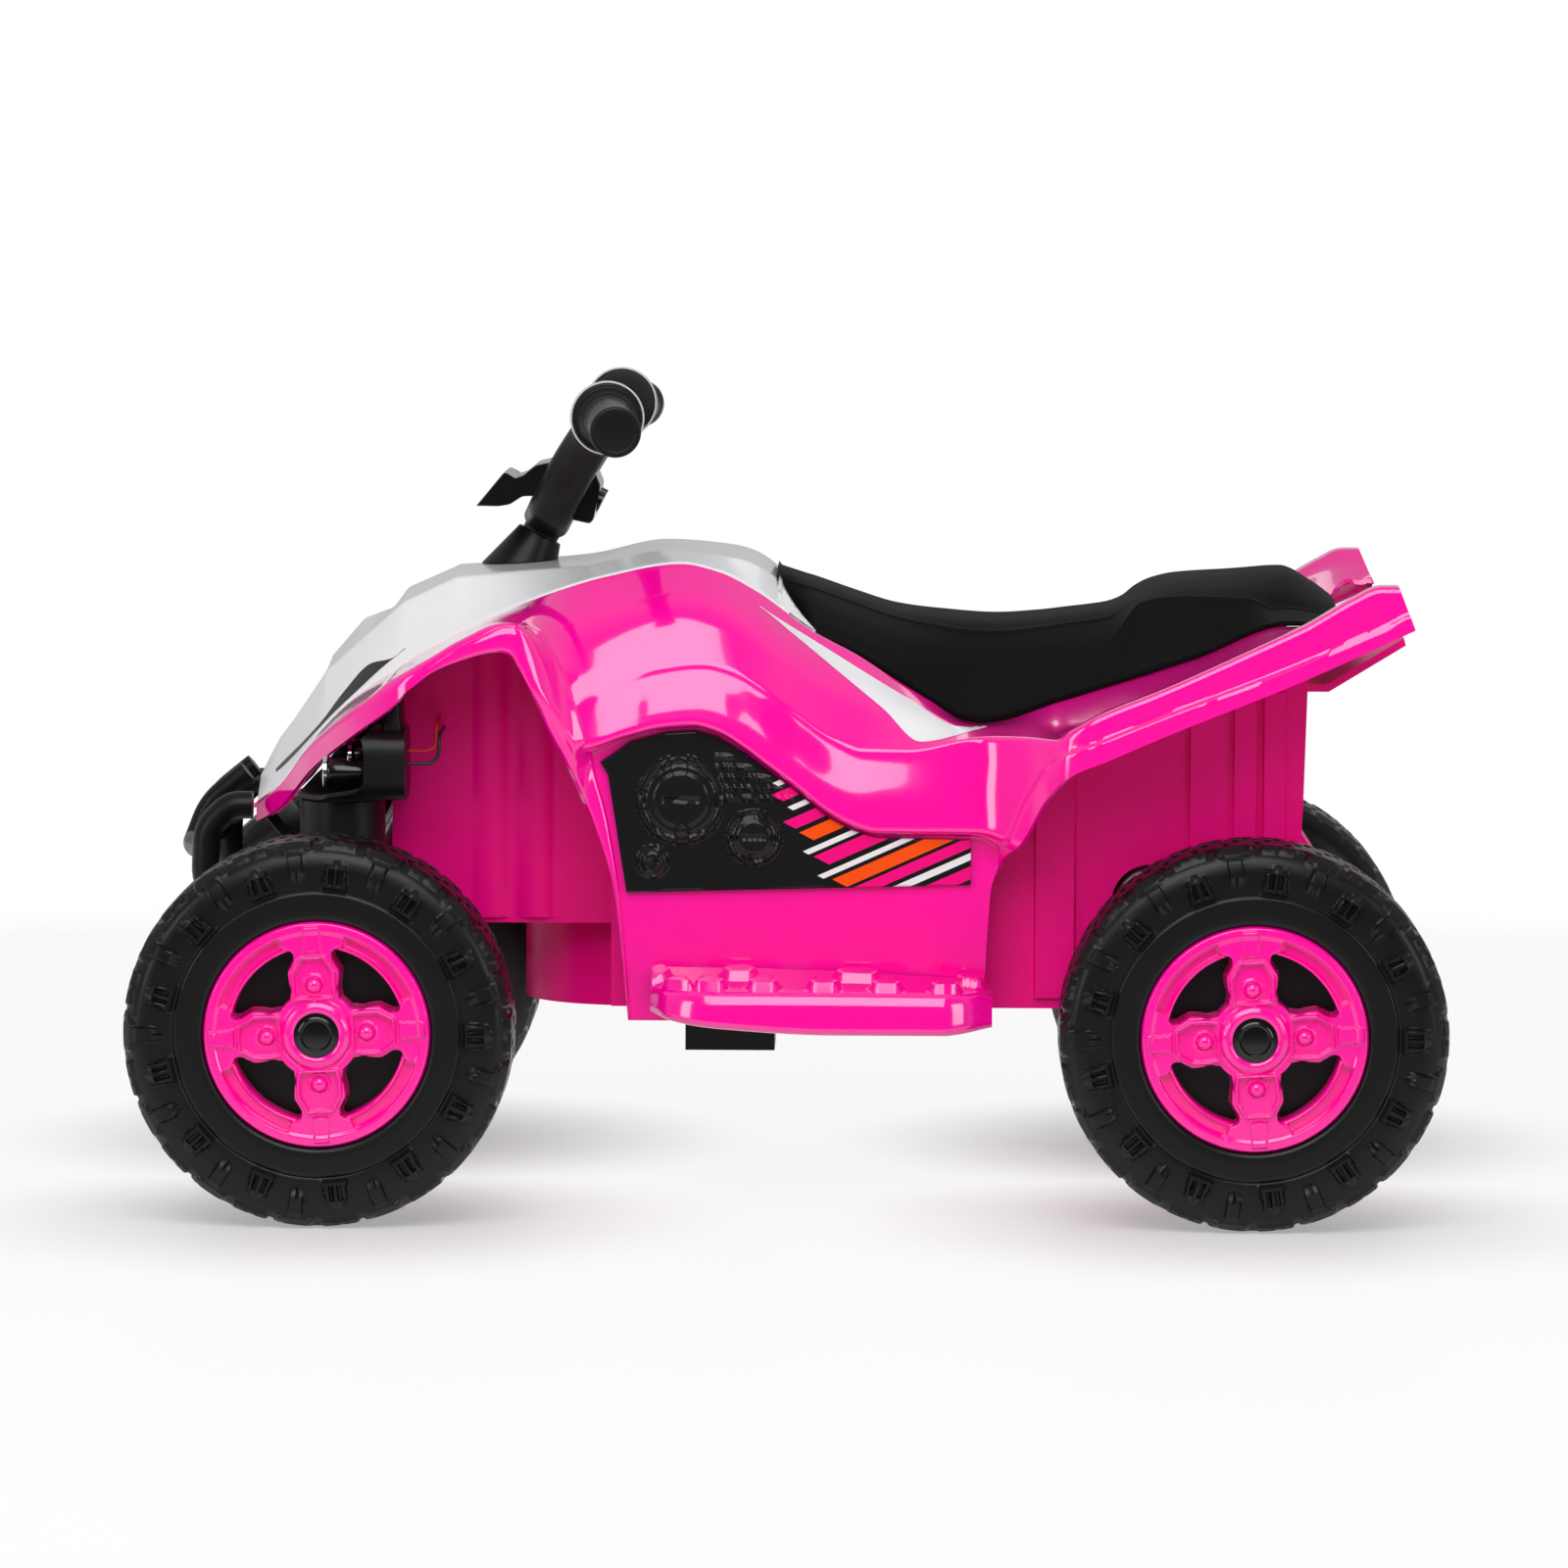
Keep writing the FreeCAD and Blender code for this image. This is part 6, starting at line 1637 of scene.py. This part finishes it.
@dataclass
class EnginePanel:
    """The engine look of a side panel: round covers, bolts and fins in low relief under a barred film."""

    side: Side
    upper: Line2 = (
        (-100, 243), (-84, 254), (-65, 259), (-50, 260), (-38, 257), (-23, 248), (-15, 242), (5, 227),
        (21, 214), (34, 207), (47, 203), (98, 202))
    lower: Line2 = ((-100, 242.5), (-96, 236), (-86, 173), (98, 178))
    face: float = 143.3
    root: float = 140.3
    covers: tuple[tuple[float, float, float], ...] = ((-57, 223, 24.0), (-72, 190, 9.0), (-18, 203, 15.0))

    def relief(self, x: Array, z: Array) -> Array:
        """Height of the covers with their rings, slots and bolts, and of the fins between them.

        Args:
            x: places along the bike in millimetres.
            z: heights over the floor.

        Returns:
            Heights over the panel's face in millimetres.
        """
        height = np.zeros(x.shape)
        for cx, cz, r in self.covers:
            away = np.hypot(x - cx, z - cz)
            turn = np.arctan2(z - cz, x - cx)
            cover = 2.0 * ease(r, r - 1.2, away) + 1.1 * ease(0.62 * r, 0.62 * r - 1.0, away)
            slot = 0.9 * ease(1.3, 0.8, np.abs(z - cz)) * ease(0.45 * r, 0.40 * r, away)
            ring = -0.9 * ease(1.1, 0.6, np.abs(away - 0.80 * r)) - slot
            spot = (turn + math.pi / 6) % (math.pi / 3) - math.pi / 6
            bolt = np.hypot(away - 0.91 * r, 0.91 * r * spot)
            dome = 1.2 * np.sqrt(np.maximum(0.0, 1 - (bolt / 1.7) ** 2)) * (r > 12)
            height = np.maximum(height, cover + ring + dome)
        fins = ease(0.25, 0.5, np.cos(z * 2 * math.pi / 5.6)) * ease(-40.0, -37.0, x) * ease(4.0, 1.0, x)
        fins *= ease(220.5, 221.5, z) * ease(253.0, 247.0, z + 0.55 * (x + 38))
        return np.maximum(height, 1.3 * fins)

    def build(self) -> None:
        """A grid between the lower and upper lines, edged down to the body."""
        x = np.unique(np.concatenate([np.arange(-100, -84, 0.4), np.arange(-84, 98.1, 0.8)]))
        low = np.interp(x, *np.array(self.lower).T)
        high = np.interp(x, *np.array(self.upper).T)
        share = np.linspace(0, 1, 90)
        z = low[:, None] + (high - low)[:, None] * share
        xx = np.broadcast_to(x[:, None], z.shape)
        edge = np.minimum(np.minimum(high[:, None] - z, z - low[:, None]), np.minimum(xx + 100, 98 - xx))
        y = self.face + self.relief(xx, z) * ease(0.6, 3.0, edge) - 0.8 * ease(0.8, 0.0, edge)
        points = np.stack([xx, y, z], axis=-1)
        rim = points * np.array([1.0, 0.0, 1.0]) + np.array([0.0, self.root, 0.0])
        skin = Skin(f"engine_relief_{self.side.name.lower()}")
        mirror = np.array([1.0, self.side.value, 1.0]) * MM
        flip = self.side is Side.RIGHT
        skin.grid(points * mirror, flip=not flip)
        skin.grid(np.stack([points[:, 0], rim[:, 0]], axis=1) * mirror, flip=flip)
        skin.grid(np.stack([points[:, -1], rim[:, -1]], axis=1) * mirror, flip=not flip)
        skin.grid(np.stack([points[0], rim[0]], axis=0) * mirror, flip=not flip)
        skin.grid(np.stack([points[-1], rim[-1]], axis=0) * mirror, flip=flip)
        piece = skin.build(40.0)
        PANEL.dress(piece)
        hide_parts(f"engine_panel_{self.side.name.lower()}")
        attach(piece, "chassis")
        LOG.info("engine panel %s", self.side.name.lower())


@dataclass
class CarriedParts:
    """The CAD nodes that show as they are, each with its finish; moulded ones get their edges rounded."""

    finishes: dict[Finish, tuple[str, ...]] = field(default_factory=lambda: {
        TUB_PINK: ("chassis_tub",),
        BLACK: ("bumper", "front_grille", "front_axle_frame", "lower_column_bush", "column_boot", "pedal",
                "pedal_switch_box", "charging_socket", "gear_case", "gear_case_cover", "battery",
                "motor_lead"),
        GLOSS_BLACK: ("horn_button", "music_button", "power_switch", "direction_switch"),
        DARK_STEEL: ("steering_knuckle_left", "steering_knuckle_right"),
        STEEL: ("axle_nut_front_left", "axle_nut_front_right", "tie_rod", "steering_column", "rear_axle",
                "axle_nuts_rear", "body_screws"),
        MOTOR_GREY: ("motor",),
        NYLON: ("motor_pinion", "idler_gear", "output_gear"),
        LEAD_RED: ("lamp_leads",),
    })
    rounded: tuple[tuple[str, float], ...] = (
        ("chassis_tub", 1.5), ("front_grille", 1.0), ("front_axle_frame", 1.2), ("column_boot", 1.2),
        ("pedal", 1.2), ("pedal_switch_box", 2.0), ("battery", 2.0))
    round_steps: int = 3
    sharp_deg: float = 40.0
    black_lead_y: float = 121.0
    black_run_from: float = -188.0
    black_run_height: float = 256.0
    black_run_reach: float = 2.5

    def soften(self, piece: Piece, width: float) -> None:
        """Joins the faces, rounds their edges and evens the shading.

        Args:
            piece: the node's object.
            width: the rounding's width in millimetres.
        """
        weld = piece.modifiers.new("join", "WELD")
        weld.merge_threshold = 0.00002
        bevel = piece.modifiers.new("round", "BEVEL")
        bevel.width = width * MM
        bevel.segments = self.round_steps
        bevel.limit_method = "ANGLE"
        bevel.angle_limit = math.radians(self.sharp_deg)
        piece.modifiers.new("even", "WEIGHTED_NORMAL")

    def split_leads(self, piece: Piece) -> None:
        """Gives the outer lead of each pod, and its run at the lower height, the black finish.

        Args:
            piece: the four leads as one object.
        """
        piece.data.materials.append(LEAD_BLACK.material())
        faces = piece.data.polygons
        middle = np.empty(len(faces) * 3)
        faces.foreach_get("center", middle)
        x, y, z = middle.reshape(-1, 3).T / MM
        run = (np.abs(z - self.black_run_height) < self.black_run_reach) & (x > self.black_run_from)
        black = (np.abs(y) > self.black_lead_y) | run
        faces.foreach_set("material_index", black.astype(np.int32))

    def build(self) -> None:
        """Dresses each node and rounds the moulded ones."""
        for finish, names in self.finishes.items():
            finish.dress(*[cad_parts[name] for name in names])
        for name, width in self.rounded:
            self.soften(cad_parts[name], width)
        self.split_leads(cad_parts["lamp_leads"])
        LOG.info("carried parts")


@dataclass
class Studio:
    """Camera at the photograph's place, soft lights, a pale floor and a white surround."""

    eye: Point3 = (0.0568, -4.3039, 0.5890)
    yaw_deg: float = -0.811
    pitch_deg: float = 4.909
    roll_deg: float = 0.2209
    lens: float = 180.0
    room_level: float = 0.05
    back_level: float = 0.5
    fill_level: float = 0.30
    floor_glow: float = 0.35
    front_glow: float = 0.1
    wheel_place: Point3 = (0.247, 0.172, 0.0)
    wheel_fade: Span = (0.05, 0.24)
    wheel_glow: float = 0.9
    far_fade: Span = (0.45, 1.6)
    front_fade: Span = (-1.2, -0.25)
    room_fade: Span = (-0.7, 0.1)
    floor_half: float = 6.0
    floor_points: int = 9
    floor_height: float = -0.0005
    target: Point3 = (0.0, 0.0, 0.25)
    softboxes: tuple[tuple[str, Point3, Span, float], ...] = (
        ("key_softbox", (-0.1, -1.3, 1.2), (1.3, 1.15), 18.0),
        ("left_softbox", (-1.5, -1.3, 0.6), (0.4, 0.9), 5.0),
        ("right_softbox", (1.5, -1.3, 0.6), (0.4, 0.9), 5.0),
        ("back_softbox", (0.3, 1.5, 1.3), (1.4, 0.4), 1.4))

    def camera(self) -> None:
        """Builds the camera's axes from yaw, pitch and roll, as right, up and backward columns."""
        yaw, pitch, roll = (math.radians(v) for v in (self.yaw_deg, self.pitch_deg, self.roll_deg))
        ahead = np.array([math.sin(yaw) * math.cos(pitch), math.cos(yaw) * math.cos(pitch), -math.sin(pitch)])
        right = np.array([math.cos(yaw), -math.sin(yaw), 0.0])
        up = np.cross(right, ahead)
        right, up = right * math.cos(roll) + up * math.sin(roll), up * math.cos(roll) - right * math.sin(roll)
        data = bpy.data.cameras.new("photo_view")
        data.lens = self.lens
        data.sensor_width = 36.0
        data.clip_end = 50.0
        seen = bpy.data.objects.new("photo_view", data)
        turn = np.eye(4)
        turn[:3, 0], turn[:3, 1], turn[:3, 2], turn[:3, 3] = right, up, -ahead, self.eye
        seen.matrix_world = Matrix(turn.tolist())
        bpy.context.scene.collection.objects.link(seen)
        bpy.context.scene.camera = seen

    @staticmethod
    def softbox(name: str, eye: Point3, target: Point3, size: Span, watts: float) -> None:
        """A rectangular area light that looks at a target.

        Args:
            name: the light's name.
            eye: its place.
            target: the place it looks at.
            size: its width and height.
            watts: its power.
        """
        data = bpy.data.lights.new(name, "AREA")
        data.shape = "RECTANGLE"
        data.size, data.size_y = size
        data.energy = watts
        lamp = bpy.data.objects.new(name, data)
        back = np.array(eye) - np.array(target)
        back /= np.linalg.norm(back)
        right = np.cross([0.0, 0.0, 1.0], back)
        right = np.array([1.0, 0.0, 0.0]) if np.linalg.norm(right) < 1e-3 else right / np.linalg.norm(right)
        turn = np.eye(4)
        turn[:3, 0], turn[:3, 1], turn[:3, 2], turn[:3, 3] = right, np.cross(back, right), back, eye
        lamp.matrix_world = Matrix(turn.tolist())
        bpy.context.scene.collection.objects.link(lamp)

    @staticmethod
    def seen_directly(tree: Tree) -> Socket:
        """1 for rays from the camera or off gloss or glass, else 0.

        Args:
            tree: the nodes it joins.

        Returns:
            The value's socket.
        """
        path = tree.nodes.new("ShaderNodeLightPath")
        first = math_in(tree, "MAXIMUM", path.outputs["Is Camera Ray"], path.outputs["Is Glossy Ray"])
        return math_in(tree, "MAXIMUM", first, path.outputs["Is Transmission Ray"])

    @staticmethod
    def ramp(tree: Tree, value: Socket, span: Span, start: float, end: float) -> Socket:
        """A smooth ramp between two numbers.

        Args:
            tree: the nodes it joins.
            value: socket with the place.
            span: places where the ramp starts and ends.
            start: its first number.
            end: its last number.

        Returns:
            The ramp's socket.
        """
        node = tree.nodes.new("ShaderNodeMapRange")
        node.interpolation_type = "SMOOTHSTEP"
        for label, number in zip(("From Min", "From Max", "To Min", "To Max"), (*span, start, end)):
            node.inputs[label].default_value = number
        tree.links.new(value, node.inputs["Value"])
        return node.outputs["Result"]

    def surround(self) -> None:
        """White where it is seen, dimmer where it lights; reflections from behind the camera are dim too."""
        world = bpy.data.worlds.new("surround")
        bpy.context.scene.world = world
        world.use_nodes = True
        tree = world.node_tree
        light = tree.nodes["Background"]
        light.inputs["Color"].default_value = (1.0, 1.0, 1.0, 1.0)
        place = tree.nodes.new("ShaderNodeTexCoord")
        split = tree.nodes.new("ShaderNodeSeparateXYZ")
        tree.links.new(place.outputs["Generated"], split.inputs[0])
        path = tree.nodes.new("ShaderNodeLightPath")
        room = self.ramp(tree, split.outputs["Y"], self.room_fade, self.room_level, self.back_level)
        direct = math_in(tree, "MAXIMUM", path.outputs["Is Camera Ray"], path.outputs["Is Transmission Ray"])
        mirrored = math_in(tree, "MULTIPLY", path.outputs["Is Glossy Ray"], room)
        seen = math_in(tree, "MAXIMUM", direct, mirrored)
        unseen = math_in(tree, "SUBTRACT", 1.0, self.seen_directly(tree))
        dim = math_in(tree, "MULTIPLY", unseen, self.fill_level)
        tree.links.new(math_in(tree, "ADD", seen, dim), light.inputs["Strength"])

    def floor(self) -> None:
        """A wide pale sheet: part of its white comes from itself, so the shadow on it stays soft. That glow
        is painted light: weakest at the wheels, where the real shadow and reflection show, and strong
        elsewhere, where it fills in the bike's shadow; in reflections it fades in front of the bike, so gloss
        there mirrors a darker floor than the camera sees.
        """
        skin = Skin("floor")
        span = np.linspace(-self.floor_half, self.floor_half, self.floor_points)
        level = np.full((len(span), len(span)), self.floor_height)
        skin.grid(np.stack([*np.meshgrid(span, span, indexing="ij"), level], axis=-1))
        sheet = skin.build()
        made = bpy.data.materials.new("pale_floor")
        made.use_nodes = True
        tree = made.node_tree
        shader = tree.nodes["Principled BSDF"]
        shader.inputs["Base Color"].default_value = (0.9, 0.9, 0.9, 1.0)
        shader.inputs["Roughness"].default_value = 0.36
        shader.inputs["Specular IOR Level"].default_value = 0.4
        glow = tree.nodes.new("ShaderNodeEmission")
        mix = tree.nodes.new("ShaderNodeMixShader")
        place = tree.nodes.new("ShaderNodeTexCoord")
        away = tree.nodes.new("ShaderNodeVectorMath")
        away.operation = "LENGTH"
        tree.links.new(place.outputs["Object"], away.inputs[0])
        either = tree.nodes.new("ShaderNodeVectorMath")
        either.operation = "ABSOLUTE"
        tree.links.new(place.outputs["Object"], either.inputs[0])
        wheel = tree.nodes.new("ShaderNodeVectorMath")
        wheel.operation = "DISTANCE"
        wheel.inputs[1].default_value = self.wheel_place
        tree.links.new(either.outputs[0], wheel.inputs[0])
        # painted light: the glow's share is lowest at the wheels and high elsewhere, filling in the bike's
        # shadow on the floor
        near = self.ramp(tree, wheel.outputs["Value"], self.wheel_fade, self.floor_glow, self.wheel_glow)
        far = math_in(tree, "MAXIMUM", near, self.ramp(tree, away.outputs["Value"], self.far_fade, 0.0, 1.0))
        split = tree.nodes.new("ShaderNodeSeparateXYZ")
        tree.links.new(place.outputs["Object"], split.inputs[0])
        path = tree.nodes.new("ShaderNodeLightPath")
        # reflections see the glow dimmed in front of the bike, a darker floor than the camera sees
        loss = self.ramp(tree, split.outputs["Y"], self.front_fade, 1.0 - self.front_glow, 0.0)
        dimmed = math_in(tree, "MULTIPLY", path.outputs["Is Glossy Ray"], loss)
        tree.links.new(math_in(tree, "SUBTRACT", 1.0, dimmed), glow.inputs["Strength"])
        share = math_in(tree, "MULTIPLY", self.seen_directly(tree), far)
        tree.links.new(share, mix.inputs[0])
        tree.links.new(shader.outputs[0], mix.inputs[1])
        tree.links.new(glow.outputs[0], mix.inputs[2])
        tree.links.new(mix.outputs[0], tree.nodes["Material Output"].inputs["Surface"])
        sheet.data.materials.append(made)

    def build(self) -> None:
        """Sets the view and places everything."""
        bpy.context.scene.view_settings.view_transform = "Standard"
        self.camera()
        for name, eye, size, watts in self.softboxes:
            self.softbox(name, eye, self.target, size, watts)
        self.surround()
        self.floor()
        LOG.info("studio")


def main() -> None:
    """Builds the classes in order."""
    logging.basicConfig(level=logging.INFO, format="%(message)s")
    shell = BodyShell()
    shell.build()
    Seat(shell).build()
    for end, x in (("front", -247.0), ("rear", 247.0)):
        for side in Side:
            Wheel(end, side, x).build()
    Lamps().build()
    DashPod().build()
    HandleBar(HandGrip(Side.RIGHT)).build()
    for side in Side:
        LampPod(side).build()
        HandGrip(side).build()
        FootBoard(side).build()
        EnginePanel(side).build()
    CarriedParts().build()
    Studio().build()
    bpy.context.view_layer.update()


if __name__ == "__main__":
    main()
